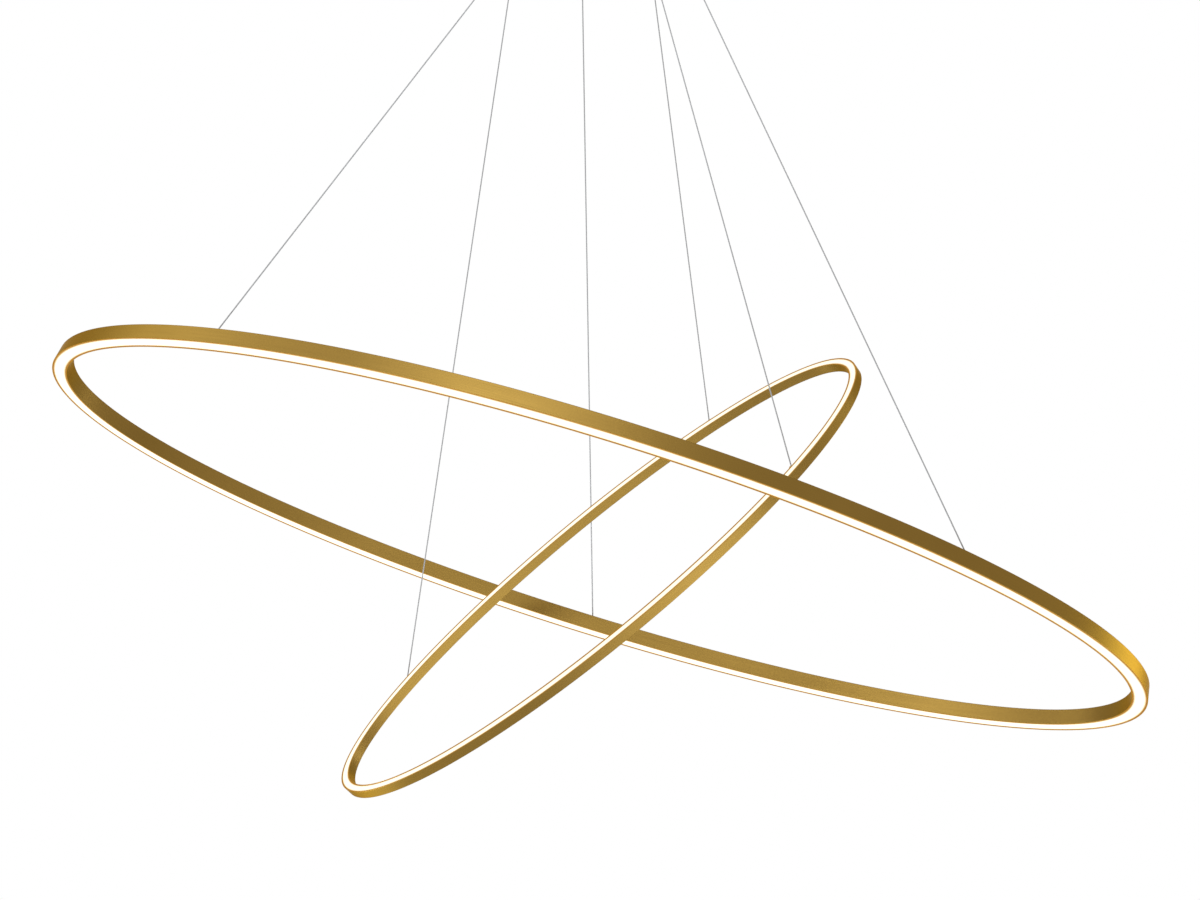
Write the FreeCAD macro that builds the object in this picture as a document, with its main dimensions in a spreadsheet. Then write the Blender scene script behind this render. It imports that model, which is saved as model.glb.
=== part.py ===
"""LED ring chandelier: two elliptical light rings hung from one ceiling canopy on six taut wires.

Origin: centre of the canopy where it meets the ceiling. +Z is up, +X runs along the large ring
as it is seen from the front, +Y points to the back of the room. Sizes are in millimetres.
"""
import FreeCAD, Part

import math
import os

import Sketcher
from FreeCAD import Placement, Rotation, Vector

SIZES = {
    # Large ring, light facing down
    "large_half_length": 675, "large_half_width": 242.6,
    "large_profile_width": 18.5, "large_profile_height": 20,
    "large_wall": 1.4, "large_back": 1.8, "large_lens": 2.0,
    "large_strip_inset": 10.4, "large_strip_width": 6.3,
    "large_centre_x": 5.7, "large_centre_y": -15.8, "large_centre_z": -876.7,
    "large_heading": 0.33, "large_slope": -17.35, "large_roll": 155.63,
    "large_row_y": -11.7,
    "large_left_top_x": -27.1, "large_rear_top_x": -6.8, "large_right_top_x": 79.6,
    "large_left_angle": 133.55, "large_rear_angle": 272.5, "large_right_angle": 53.8,
    # Small ring, light facing up
    "small_half_length": 396.1, "small_half_width": 137.1,
    "small_profile_width": 11.5, "small_profile_height": 12.5,
    "small_wall": 1.1, "small_back": 1.4, "small_lens": 1.6,
    "small_strip_inset": 3.25, "small_strip_width": 5,
    "small_centre_x": 13.6, "small_centre_y": 8.2, "small_centre_z": -910.1,
    "small_heading": -6.82, "small_slope": 39.13, "small_roll": 37.68,
    "small_row_y": 14.6,
    "small_left_top_x": -79.3, "small_rear_top_x": 70.6, "small_front_top_x": 59.0,
    "small_left_angle": 133.75, "small_rear_angle": 55.65, "small_front_angle": 311.35,
    # Parts inside both rings
    "lens_recess": 0.3, "side_gap": 0.2, "seam_gap": 0.1, "rail_thickness": 2, "strip_thickness": 1,
    "splice_reach": 16, "splice_screw_radius": 1.2, "splice_head_radius": 2, "splice_head_height": 1,
    # Wire seats let into the back of the large ring
    "seat_radius": 4.1, "seat_depth": 5.6, "seat_inset": 5.7, "seat_pocket_radius": 3.2,
    "seat_pocket_depth": 4.6, "seat_mouth_radius": 2.7, "seat_lip": 0.3, "seat_stop_depth": 1.55,
    "stop_radius": 2.5, "stop_length": 2,
    # Wire posts on the side walls of the small ring
    "post_radius": 2.4, "post_height": 8, "post_wire_height": 5.5,
    "post_shank_radius": 1.2, "post_shank_reach": 1, "post_bore_radius": 1.3,
    "crimp_radius": 1.3, "crimp_length": 3, "crimp_start": 4.2,
    # Wires
    "wire_radius": 0.8, "wire_fit": 0.05, "wire_overlap": 2.8, "sliding_wire_start": 10,
    # Wire grippers and their release sleeves, each hung on a ball
    "ball_radius": 3.5, "ball_flat": 1.9, "ball_belt": 0.8, "ball_crown": 3, "ball_drop": 44,
    "gripper_radius": 4, "gripper_neck_radius": 1.6, "gripper_neck_end": 5.5,
    "gripper_shoulder_end": 8, "gripper_length": 27, "gripper_bore_radius": 1.1,
    "chamber_radius": 2.6, "chamber_top": 17, "chamber_bottom": 25.5, "chamber_mouth_radius": 2.1,
    "release_flange_radius": 2.25, "release_flange_top": 20, "release_flange_bottom": 21.5,
    "release_stem_radius": 1.8, "release_tip": 31,
    # Ball sockets in the canopy floor
    "socket_radius": 5.2, "socket_mouth": 1.9, "socket_mouth_radius": 3.35, "socket_lip": 0.4,
    "socket_pocket_radius": 3.8, "socket_pocket_top": 3.7,
    "socket_stem_radius": 3.4, "socket_stem_top": 10.5, "socket_bore_radius": 2.8,
    "nut_flats": 9, "nut_height": 3,
    # Canopy and ceiling bracket
    "canopy_radius": 100, "canopy_height": 40, "canopy_wall": 1.5, "canopy_edge_cut": 1.8,
    "canopy_shadow_gap": 1, "socket_hole_radius": 3.45,
    "bracket_radius": 94, "bracket_thickness": 2, "cable_hole_radius": 12,
    "fixing_circle_radius": 82, "fixing_hole_radius": 2.75,
    "tab_width": 14, "tab_drop": 14, "tab_thickness": 2, "tab_face_radius": 97.5,
    "side_screw_drop": 9, "side_screw_radius": 2, "side_screw_hole_radius": 2.1,
    "side_screw_reach": 8, "side_knob_radius": 4.5, "side_knob_length": 6,
    # Drivers and terminal block
    "driver_length": 118, "driver_width": 30, "driver_height": 17, "driver_offset": 47,
    "driver_ear": 9, "driver_ear_thickness": 2, "driver_slot": 3.6,
    "terminal_length": 32, "terminal_width": 17, "terminal_height": 13, "terminal_x": 40,
    "terminal_pitch": 9, "terminal_well": 3.6, "terminal_screw_radius": 1.5,
    "small_screw_radius": 1.5, "small_screw_head_radius": 2.75, "small_screw_head_height": 2,
    "earth_x": -45,
}
SIDE_SCREWS = 3
CORNER = 2 / math.sqrt(3)  # a hexagon's corner radius for each unit of the radius inside its flats

doc = FreeCAD.newDocument("ring_chandelier")
sheet = doc.addObject("Spreadsheet::Sheet", "Sizes")
for row, (alias, number) in enumerate(SIZES.items(), start=1):
    sheet.set(f"A{row}", alias)
    sheet.set(f"B{row}", str(number))
    sheet.setAlias(f"B{row}", alias)
doc.recompute()


class Size:
    """A measure worked out from the sheet's cells, together with the formula that gives it."""

    def __init__(self, value, formula):
        self.value = value
        self.formula = formula

    def _join(self, other, sign, value):
        right = other.formula if isinstance(other, Size) else repr(other)
        return Size(value, f"({self.formula} {sign} {right})")

    def __add__(self, other):
        return self._join(other, "+", self.value + number_of(other))

    def __sub__(self, other):
        return self._join(other, "-", self.value - number_of(other))

    def __mul__(self, other):
        return self._join(other, "*", self.value * number_of(other))

    def __truediv__(self, other):
        return self._join(other, "/", self.value / number_of(other))

    def __neg__(self):
        return Size(-self.value, f"(-1 * {self.formula})")


def number_of(measure):
    return measure.value if isinstance(measure, Size) else measure


def size(alias):
    """The named cell of the sheet as a Size."""
    return Size(float(SIZES[alias]), f"Sizes.{alias}")


def millimetres(alias):
    return float(SIZES[alias])


ZERO = Size(0.0, "0")


# ---------------------------------------------------------------- sketches and features

def new_body(label):
    body = doc.addObject("PartDesign::Body", label)
    body.Label = label
    return body


def new_sketch(body, name, role="XY_Plane", lift=None):
    """A sketch on one of the body's own origin planes, lifted along that plane's normal."""
    sketch = body.newObject("Sketcher::SketchObject", name)
    plane = next(item for item in body.Origin.OriginFeatures if item.Role == role)
    sketch.AttachmentSupport = [(plane, "")]
    sketch.MapMode = "FlatFace"
    if lift is not None:
        sketch.AttachmentOffset = Placement(Vector(0, 0, lift.value), Rotation())
        sketch.setExpression("AttachmentOffset.Base.z", lift.formula)
    return sketch


def hold(sketch, kind, first, second, measure):
    """Hold a distance from the sketch's origin, or keep the point on the axis where it is zero."""
    if number_of(measure) == 0:
        axis = -2 if kind == "DistanceX" else -1
        sketch.addConstraint(Sketcher.Constraint("PointOnObject", first, second, axis))
        return
    item = sketch.addConstraint(Sketcher.Constraint(kind, -1, 1, first, second, measure.value))
    sketch.setExpression(f"Constraints[{item}]", measure.formula)


def draw_polygon(sketch, corners):
    """Close a polygon through corners, each a pair of sizes measured from the origin."""
    points = [Vector(number_of(across), number_of(along), 0) for across, along in corners]
    first = sketch.GeometryCount
    count = len(points)
    for index in range(count):
        sketch.addGeometry(Part.LineSegment(points[index], points[(index + 1) % count]), False)
    for index in range(count):
        following = first + (index + 1) % count
        sketch.addConstraint(Sketcher.Constraint("Coincident", first + index, 2, following, 1))
    for index, (across, along) in enumerate(corners):
        hold(sketch, "DistanceX", first + index, 1, across)
        hold(sketch, "DistanceY", first + index, 1, along)


def draw_circle(sketch, radius, across=ZERO, along=ZERO):
    centre = Vector(number_of(across), number_of(along), 0)
    circle = sketch.addGeometry(Part.Circle(centre, Vector(0, 0, 1), radius.value), False)
    item = sketch.addConstraint(Sketcher.Constraint("Radius", circle, radius.value))
    sketch.setExpression(f"Constraints[{item}]", radius.formula)
    hold(sketch, "DistanceX", circle, 3, across)
    hold(sketch, "DistanceY", circle, 3, along)


def draw_hexagon(sketch, radius, across=ZERO, along=ZERO):
    """Six flats that touch the circle of this radius from outside."""
    corner = radius * CORNER
    draw_polygon(sketch, [
        (corner + across, along), (corner / 2 + across, radius + along),
        (-corner / 2 + across, radius + along), (-corner + across, along),
        (-corner / 2 + across, -radius + along), (corner / 2 + across, -radius + along)])


def draw_ellipse(sketch, half_length, half_width):
    """A full ellipse about the origin, with its axes held by its own axis lines."""
    tip = Vector(half_length.value, 0, 0)
    side = Vector(0, half_width.value, 0)
    ellipse = sketch.addGeometry(Part.Ellipse(tip, side, Vector(0, 0, 0)), False)
    sketch.exposeInternalGeometry(ellipse)
    sketch.addConstraint(Sketcher.Constraint("Coincident", ellipse, 3, -1, 1))
    sketch.addConstraint(Sketcher.Constraint("Horizontal", ellipse + 1))
    for axis, half in ((ellipse + 1, half_length), (ellipse + 2, half_width)):
        item = sketch.addConstraint(Sketcher.Constraint("Distance", axis, 2 * half.value))
        sketch.setExpression(f"Constraints[{item}]", (half * 2).formula)


def pad(body, sketch, length, downwards=False):
    feature = body.newObject("PartDesign::Pad", f"{sketch.Name}_pad")
    feature.Profile = sketch
    feature.setExpression("Length", length.formula)
    feature.Reversed = downwards
    doc.recompute()
    return feature


def pocket(body, sketch, depth, upwards=False):
    """Cut a pocket and make sure that it took material away."""
    before = body.Shape.Volume
    feature = body.newObject("PartDesign::Pocket", f"{sketch.Name}_pocket")
    feature.Profile = sketch
    feature.setExpression("Length", depth.formula)
    feature.Reversed = upwards
    doc.recompute()
    if not body.Shape.Volume < before:
        raise RuntimeError(f"{feature.Name} cuts nothing")
    return feature


def turned(label, corners):
    """A body turned about Z from a closed profile of (radius, height) corners."""
    body = new_body(label)
    profile = new_sketch(body, f"{label}_profile", "XZ_Plane")
    draw_polygon(profile, corners)
    turn = body.newObject("PartDesign::Revolution", f"{label}_turn")
    turn.Profile = profile
    turn.ReferenceAxis = (profile, ["V_Axis"])
    turn.Angle = 360
    doc.recompute()
    return body


def polar(body, feature, count):
    pattern = body.newObject("PartDesign::PolarPattern", f"{feature.Name}_round")
    pattern.Originals = [feature]
    axis = next(item for item in body.Origin.OriginFeatures if item.Role == "Z_Axis")
    pattern.Axis = (axis, [""])
    pattern.Angle = 360
    pattern.Occurrences = count
    body.Tip = pattern
    doc.recompute()
    return pattern


def cylinder(name, radius, length, placement):
    item = doc.addObject("Part::Cylinder", name)
    item.setExpression("Radius", radius.formula)
    item.setExpression("Height", length.formula)
    item.Placement = placement
    doc.recompute()
    return item


def hexagon_prism(name, radius, length, placement):
    """Six-sided bar or drill along +Z, its flats at this radius from the axis."""
    item = doc.addObject("Part::Prism", name)
    item.Polygon = 6
    item.setExpression("Circumradius", (radius * CORNER).formula)
    item.setExpression("Height", length.formula)
    item.Placement = placement
    doc.recompute()
    return item


def add_hexagon(body, name, radius, start, length):
    """Pad a hexagon along the body's +Z from start, or along -Z where length is below zero."""
    sketch = new_sketch(body, name, "XY_Plane", start)
    draw_hexagon(sketch, radius)
    downwards = length.value < 0
    return pad(body, sketch, -length if downwards else length, downwards)


def cut_hexagon(body, name, radius, start, depth):
    """Cut a hexagon pocket along the body's +Z, from start."""
    sketch = new_sketch(body, name, "XY_Plane", start)
    draw_hexagon(sketch, radius)
    return pocket(body, sketch, depth, upwards=True)


def cut(label, base, tools):
    """Base less all the tools, as one object."""
    tool = tools[0]
    if len(tools) > 1:
        tool = doc.addObject("Part::MultiFuse", f"{label}_tools")
        tool.Shapes = tools
    item = doc.addObject("Part::Cut", label)
    item.Label = label
    item.Base = base
    item.Tool = tool
    doc.recompute()
    return item


def group(label, items):
    """Identical small pieces that share one node as separate solids."""
    item = doc.addObject("Part::Compound", label)
    item.Label = label
    item.Links = items
    doc.recompute()
    return item


# ---------------------------------------------------------------- where the rings and wires are

def ring_placement(ring):
    """The ring's own frame: X along its length, Y across it, +Z out of the lit face."""
    centre = Vector(*(millimetres(f"{ring}_centre_{axis}") for axis in "xyz"))
    turn = Rotation(
        millimetres(f"{ring}_heading"), -millimetres(f"{ring}_slope"), millimetres(f"{ring}_roll"))
    return Placement(centre, turn)


def rim_point(ring, angle, inset):
    """Point and outward direction on the ring's outline, inset from its outer edge."""
    half_length = millimetres(f"{ring}_half_length") - inset
    half_width = millimetres(f"{ring}_half_width") - inset
    turn = math.radians(angle)
    point = Vector(half_length * math.cos(turn), half_width * math.sin(turn), 0)
    outward = Vector(half_width * math.cos(turn), half_length * math.sin(turn), 0)
    return point, outward.normalize()


def seat_spot(ring, wire):
    """Placement of a wire seat in the back face: +Z points out of the back."""
    point, outward = rim_point(ring, millimetres(f"{ring}_{wire}_angle"), millimetres("seat_inset"))
    back = -millimetres(f"{ring}_profile_height")
    return Placement(Vector(point.x, point.y, back), Rotation(outward, Vector(), Vector(0, 0, -1), "ZXY"))


def post_spot(ring, wire):
    """Placement of a wire post on the side wall that faces up: +Z points out of the wall."""
    inner = wire == "front"
    inset = millimetres(f"{ring}_profile_width") if inner else 0.0
    point, outward = rim_point(ring, millimetres(f"{ring}_{wire}_angle"), inset)
    direction = outward * (-1 if inner else 1)
    level = -millimetres(f"{ring}_profile_height") / 2
    turn = Rotation(Vector(0, 0, 1), Vector(), direction, "ZXY")
    return Placement(Vector(point.x, point.y, level), turn)


WIRES = {"large": ("left", "rear", "right"), "small": ("left", "rear", "front")}
FRONT_SIDE = {"large": 1, "small": -1}
SLIDING = {"large": "rear", "small": "front"}
SPOT = {"large": seat_spot, "small": post_spot}


def lower_end(ring, wire):
    """Where the wire's centreline meets its fitting on the ring, in the object's frame."""
    spot = ring_placement(ring) * SPOT[ring](ring, wire)
    reach = -millimetres("seat_stop_depth") if ring == "large" else millimetres("post_wire_height")
    return spot.multVec(Vector(0, 0, reach))


def upper_end(ring, wire):
    """Centre of the ball that the wire's gripper hangs from."""
    return Vector(
        millimetres(f"{ring}_{wire}_top_x"), millimetres(f"{ring}_row_y"), -millimetres("ball_drop"))


def along_wire(ring, wire, start):
    """Frame on the wire with +Z up along it: at its lower end, or at the ball when start is top."""
    low = lower_end(ring, wire)
    high = upper_end(ring, wire)
    turn = Rotation(Vector(0, 0, 1), (high - low).normalize())
    return Placement(high if start == "top" else low, turn)


# ---------------------------------------------------------------- canopy

def make_bracket():
    """Round ceiling plate with three bent tabs that take the side screws."""
    body = new_body("ceiling_bracket")
    disc = new_sketch(body, "bracket_disc")
    draw_circle(disc, size("bracket_radius"))
    draw_circle(disc, size("cable_hole_radius"))
    pad(body, disc, size("bracket_thickness"), downwards=True)
    fixing = new_sketch(body, "bracket_fixing")
    draw_circle(fixing, size("fixing_hole_radius"), size("fixing_circle_radius"), ZERO)
    holes = pocket(body, fixing, size("bracket_thickness") * 2)
    polar(body, holes, SIDE_SCREWS)
    foot = new_sketch(body, "bracket_tab")
    face = size("tab_face_radius")
    half = size("tab_width") / 2
    root = size("bracket_radius") - size("tab_width") / 2
    draw_polygon(foot, [
        (-half, -face), (half, -face), (half, -root), (-half, -root)])
    shelf = pad(body, foot, size("bracket_thickness"), downwards=True)
    polar(body, shelf, SIDE_SCREWS)
    drop = new_sketch(body, "bracket_tab_drop")
    draw_polygon(drop, [
        (-half, -face), (half, -face),
        (half, size("tab_thickness") - face), (-half, size("tab_thickness") - face)])
    leg = pad(body, drop, size("tab_drop"), downwards=True)
    polar(body, leg, SIDE_SCREWS)
    tapping = new_sketch(body, "bracket_tapping", "XZ_Plane")
    draw_hexagon(tapping, size("side_screw_radius") + size("wire_fit"), ZERO, -size("side_screw_drop"))
    tapped = pocket(body, tapping, size("canopy_radius"), upwards=True)
    polar(body, tapped, SIDE_SCREWS)
    return body


def make_canopy():
    """Shallow turned cup with a broken edge, six socket holes and three side screw holes."""
    radius = size("canopy_radius")
    wall = size("canopy_wall")
    floor = -size("canopy_height")
    top = -size("canopy_shadow_gap")
    low = size("canopy_edge_cut")
    body = turned("canopy_cover", [
        (ZERO, floor), (radius - low, floor), (radius, floor + low), (radius, top),
        (radius - wall, top), (radius - wall, floor + wall), (ZERO, floor + wall)])
    openings = new_sketch(body, "canopy_sockets", "XY_Plane", floor)
    for ring, wires in WIRES.items():
        for wire in wires:
            draw_hexagon(
                openings, size("socket_hole_radius"), size(f"{ring}_{wire}_top_x"), size(f"{ring}_row_y"))
    pocket(body, openings, wall * 2, upwards=True)
    side = new_sketch(body, "canopy_side_hole", "XZ_Plane")
    draw_hexagon(side, size("side_screw_hole_radius"), ZERO, -size("side_screw_drop"))
    hole = pocket(body, side, size("canopy_radius") * 2, upwards=True)
    polar(body, hole, SIDE_SCREWS)
    return body


def make_side_screws():
    """Three thumb screws that clamp the canopy to the bracket's tabs."""
    screws = []
    for index in range(SIDE_SCREWS):
        reach = size("side_screw_reach")
        knob = size("side_knob_length")
        radius = size("side_knob_radius")
        name = f"side_screw_{index + 1}"
        body = turned(name, [(ZERO, ZERO), (radius, ZERO), (radius, knob), (ZERO, knob)])
        add_hexagon(body, f"{name}_shank", size("side_screw_radius") / CORNER, ZERO, -reach)
        heading = -90 + 360 / SIDE_SCREWS * index
        outward = Vector(math.cos(math.radians(heading)), math.sin(math.radians(heading)), 0)
        centre = outward * millimetres("canopy_radius") - Vector(0, 0, millimetres("side_screw_drop"))
        body.Placement = Placement(centre, Rotation(Vector(0, 0, 1), outward))
        screws.append(body)
    return group("canopy_side_screws", screws)


def make_sockets(ring):
    """Turned bushes that hold the ring's gripper balls under the canopy floor."""
    bushes = []
    for wire in WIRES[ring]:
        name = f"{ring}_{wire}_socket"
        seat = size("ball_drop") - size("canopy_height")
        mouth = -size("socket_mouth")
        pocket_top = size("socket_pocket_top")
        body = turned(name, [
            (ZERO, mouth), (size("socket_radius"), mouth), (size("socket_radius"), seat), (ZERO, seat)])
        add_hexagon(
            body, f"{name}_stem", size("socket_stem_radius"), seat, size("socket_stem_top") - seat)
        cut_hexagon(
            body, f"{name}_bore", size("socket_bore_radius"), mouth, size("socket_stem_top") * 2)
        cut_hexagon(body, f"{name}_mouth", size("socket_mouth_radius"), mouth, size("socket_lip"))
        inside = mouth + size("socket_lip")
        cut_hexagon(
            body, f"{name}_pocket", size("socket_pocket_radius"), inside, pocket_top - inside)
        body.Placement = Placement(upper_end(ring, wire), Rotation())
        bushes.append(body)
    return group(f"{ring}_ball_sockets", bushes)


def make_socket_nuts():
    """Hexagon nuts that clamp the socket stems from inside the canopy."""
    nuts = []
    for ring, wires in WIRES.items():
        for wire in wires:
            body = new_body(f"{ring}_{wire}_nut")
            outline = new_sketch(body, f"{ring}_{wire}_nut_outline")
            draw_hexagon(outline, size("nut_flats") / 2)
            draw_hexagon(outline, size("socket_stem_radius") + size("wire_fit"))
            pad(body, outline, size("nut_height"))
            centre = upper_end(ring, wire)
            floor = millimetres("canopy_wall") - millimetres("canopy_height")
            body.Placement = Placement(Vector(centre.x, centre.y, floor), Rotation())
            nuts.append(body)
    return group("socket_nuts", nuts)


def make_driver(ring, side):
    """Constant voltage driver: a case with a slotted screw ear at each end."""
    body = new_body(f"{ring}_ring_driver")
    half = size("driver_length") / 2
    width = size("driver_width") / 2
    case = new_sketch(body, f"{ring}_driver_case")
    draw_polygon(case, [(-half, -width), (half, -width), (half, width), (-half, width)])
    pad(body, case, size("driver_height"), downwards=True)
    ears = new_sketch(body, f"{ring}_driver_ears")
    reach = half + size("driver_ear")
    third = width / 2
    draw_polygon(ears, [(-reach, -third), (reach, -third), (reach, third), (-reach, third)])
    pad(body, ears, size("driver_ear_thickness"), downwards=True)
    slots = new_sketch(body, f"{ring}_driver_slots")
    inner = half + size("driver_ear") / 2 - size("driver_slot")
    narrow = size("driver_slot") / 2
    for end in (-1, 1):
        draw_polygon(slots, [
            (inner * end, -narrow), (reach * end, -narrow), (reach * end, narrow),
            (inner * end, narrow)])
    pocket(body, slots, size("driver_ear_thickness") * 2)
    body.Placement = Placement(
        Vector(0, side * millimetres("driver_offset"), -millimetres("bracket_thickness")), Rotation())
    return body


def hexagon_screw(name, shank_radius, shank, head_radius, head, placement):
    """Hexagon head screw: +Z along its shank, its head below zero."""
    body = new_body(name)
    add_hexagon(body, f"{name}_head", head_radius, ZERO, -head)
    add_hexagon(body, f"{name}_shank", shank_radius / CORNER, ZERO, shank)
    body.Placement = placement
    return body


def make_driver_screws():
    screws = []
    reach = millimetres("driver_length") / 2 + millimetres("driver_ear") / 2
    level = -millimetres("bracket_thickness") - millimetres("driver_ear_thickness")
    for side in (-1, 1):
        for end in (-1, 1):
            at = Vector(end * reach, side * millimetres("driver_offset"), level)
            name = f"driver_screw_{len(screws) + 1}"
            screws.append(hexagon_screw(
                name, size("small_screw_radius"), size("driver_ear_thickness"),
                size("small_screw_head_radius"), size("small_screw_head_height"),
                Placement(at, Rotation())))
    return group("driver_screws", screws)


def make_terminal_block():
    """Three pole terminal block with wire entries on both sides."""
    body = new_body("terminal_block")
    outline = new_sketch(body, "terminal_outline")
    half = size("terminal_length") / 2
    width = size("terminal_width") / 2
    draw_polygon(outline, [(-half, -width), (half, -width), (half, width), (-half, width)])
    pad(body, outline, size("terminal_height"), downwards=True)
    entries = new_sketch(body, "terminal_entries", "XZ_Plane", -width)
    top = new_sketch(body, "terminal_screw_wells", "XY_Plane", -size("terminal_height"))
    pitch = size("terminal_pitch")
    half_well = size("terminal_well") / 2
    level = -size("terminal_height") / 2
    for step in (-1, 0, 1):
        left = pitch * step - half_well
        right = pitch * step + half_well
        draw_polygon(entries, [
            (left, level - half_well), (right, level - half_well),
            (right, level + half_well), (left, level + half_well)])
        draw_polygon(top, [
            (left, -half_well), (right, -half_well), (right, half_well), (left, half_well)])
    pocket(body, entries, size("terminal_width"), upwards=True)
    pocket(body, top, size("terminal_height") / 3, upwards=True)
    body.Placement = Placement(
        Vector(millimetres("terminal_x"), 0, -millimetres("bracket_thickness")), Rotation())
    return body


def make_terminal_screws():
    screws = []
    for step in (-1, 0, 1):
        x = millimetres("terminal_x") + step * millimetres("terminal_pitch")
        z = -millimetres("bracket_thickness") - millimetres("terminal_height")
        place = Placement(Vector(x, 0, z), Rotation())
        name = f"terminal_screw_{step + 2}"
        screws.append(hexagon_prism(
            name, size("terminal_screw_radius"), size("terminal_height") / 3, place))
    return group("terminal_screws", screws)


def make_earth_screw():
    at = Vector(millimetres("earth_x"), 0, -millimetres("bracket_thickness"))
    body = new_body("earth_screw")
    head = size("small_screw_head_height")
    add_hexagon(body, "earth_screw_head", size("small_screw_head_radius"), ZERO, -head)
    body.Placement = Placement(at, Rotation())
    return body


# ---------------------------------------------------------------- rings

def on_positive_y(ring, side):
    """Whether the front or rear half lies on +Y in the ring's own frame."""
    return (side == "front") == (FRONT_SIDE[ring] > 0)


def ring_half_cut(body, name, ring, side, depth):
    """Cut the ring away on one side of its long or short axis, leaving half the seam gap."""
    reach = size(f"{ring}_half_length") * 2
    gap = size("seam_gap")
    sketch = new_sketch(body, f"{name}_other_half", "XY_Plane", gap)
    if side in ("front", "rear"):
        edge, far = (gap, -reach) if on_positive_y(ring, side) else (-gap, reach)
        corners = [(-reach, far), (reach, far), (reach, edge), (-reach, edge)]
    else:
        edge, far = (-gap, reach) if side == "left" else (gap, -reach)
        corners = [(far, -reach), (far, reach), (edge, reach), (edge, -reach)]
    draw_polygon(sketch, corners)
    pocket(body, sketch, depth)


def ring_bar(label, ring, side, outer_inset, inner_inset, top, thickness):
    """Half of a flat elliptical bar: inset from the outline, its upper face at top."""
    body = new_body(label)
    section = new_sketch(body, f"{label}_outline", "XY_Plane", top)
    half_length = size(f"{ring}_half_length")
    half_width = size(f"{ring}_half_width")
    for inset in (outer_inset, inner_inset):
        draw_ellipse(section, half_length - inset, half_width - inset)
    pad(body, section, thickness, downwards=True)
    ring_half_cut(body, label, ring, side, size(f"{ring}_profile_height") * 2)
    return body


def splice_spots(ring, side):
    """Screw places in the back of one half, one beside each of its two seams."""
    middle = millimetres(f"{ring}_profile_width") / 2
    turn = math.degrees(math.asin(millimetres("splice_reach") / millimetres(f"{ring}_half_width")))
    sign = 1 if on_positive_y(ring, side) else -1
    return [rim_point(ring, angle, middle)[0] for angle in (sign * turn, sign * (180 - turn))]


def make_housing(ring, side):
    """Half of the U section ring: side walls and back, open towards the light."""
    label = f"{ring}_ring_housing_{side}"
    wide = size(f"{ring}_profile_width")
    high = size(f"{ring}_profile_height")
    wall = size(f"{ring}_wall")
    blank = new_body(f"{label}_channel")
    outline = new_sketch(blank, f"{label}_outline")
    half_length = size(f"{ring}_half_length")
    half_width = size(f"{ring}_half_width")
    draw_ellipse(outline, half_length, half_width)
    draw_ellipse(outline, half_length - wide, half_width - wide)
    pad(blank, outline, high, downwards=True)
    channel = new_sketch(blank, f"{label}_channel_sketch")
    draw_ellipse(channel, half_length - wall, half_width - wall)
    inner = wide - wall
    draw_ellipse(channel, half_length - inner, half_width - inner)
    pocket(blank, channel, high - size(f"{ring}_back"))
    ring_half_cut(blank, label, ring, side, high * 2)
    drills = []
    for index, point in enumerate(splice_spots(ring, side)):
        place = Placement(Vector(point.x, point.y, -high.value - 1), Rotation())
        radius = size("splice_screw_radius") + size("wire_fit")
        drills.append(hexagon_prism(f"{label}_drill_{index}", radius, size(f"{ring}_back") * 2, place))
    for wire in WIRES[ring]:
        height = math.sin(math.radians(millimetres(f"{ring}_{wire}_angle")))
        if (height > 0) == on_positive_y(ring, side):
            drills.append(fitting_drill(ring, wire, label, cylinder))
    housing = cut(label, blank, drills)
    housing.Placement = ring_placement(ring)
    return housing


def fitting_drill(ring, wire, label, tool):
    """Hole for a wire seat or for a post's shank, in the ring's own frame."""
    spot = SPOT[ring](ring, wire)
    name = f"{label}_{wire}_hole"
    if ring == "large":
        deep = size("seat_depth") * 2
        start = spot.multiply(Placement(Vector(0, 0, -deep.value / 2), Rotation()))
        return tool(name, size("seat_radius") + size("wire_fit"), deep, start)
    deep = size(f"{ring}_wall") * 2
    start = spot.multiply(Placement(Vector(0, 0, -deep.value * 0.75), Rotation()))
    return hexagon_prism(name, size("post_shank_radius") + size("wire_fit"), deep, start)


def make_rail(ring, side):
    """Half of the aluminium rail that bridges the housing seams and carries the light strip."""
    label = f"{ring}_led_rail_{side}"
    clear = size(f"{ring}_wall") + size("side_gap")
    floor = size(f"{ring}_back") + size("rail_thickness") - size(f"{ring}_profile_height")
    bar = ring_bar(
        f"{label}_bar", ring, side, clear, size(f"{ring}_profile_width") - clear,
        floor, size("rail_thickness"))
    tools = []
    for half in ("front", "rear"):
        for index, point in enumerate(splice_spots(ring, half)):
            if (point.x < 0) == (side == "left"):
                start = Vector(point.x, point.y, -millimetres(f"{ring}_profile_height"))
                radius = size("splice_screw_radius") + size("wire_fit")
                name = f"{label}_{half}_{index}"
                tools.append(hexagon_prism(name, radius, size("seat_depth"), Placement(start, Rotation())))
    if ring == "large":
        for wire in WIRES[ring]:
            tools.append(fitting_drill(ring, wire, label, hexagon_prism))
    rail = cut(label, bar, tools)
    rail.Placement = ring_placement(ring)
    return rail


def make_strip(ring, side):
    """Half of the flexible light strip on its rail."""
    label = f"{ring}_led_strip_{side}"
    inset = size(f"{ring}_strip_inset")
    top = (size(f"{ring}_back") + size("rail_thickness") + size("strip_thickness")
           - size(f"{ring}_profile_height"))
    strip = ring_bar(
        label, ring, side, inset, inset + size(f"{ring}_strip_width"), top, size("strip_thickness"))
    strip.Placement = ring_placement(ring)
    return strip


def make_lens(ring, side):
    """Half of the opal diffuser that closes the channel."""
    label = f"{ring}_diffuser_{side}"
    clear = size(f"{ring}_wall") + size("side_gap") / 2
    lens = ring_bar(
        label, ring, side, clear, size(f"{ring}_profile_width") - clear,
        -size("lens_recess"), size(f"{ring}_lens"))
    lens.Placement = ring_placement(ring)
    return lens


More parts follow.
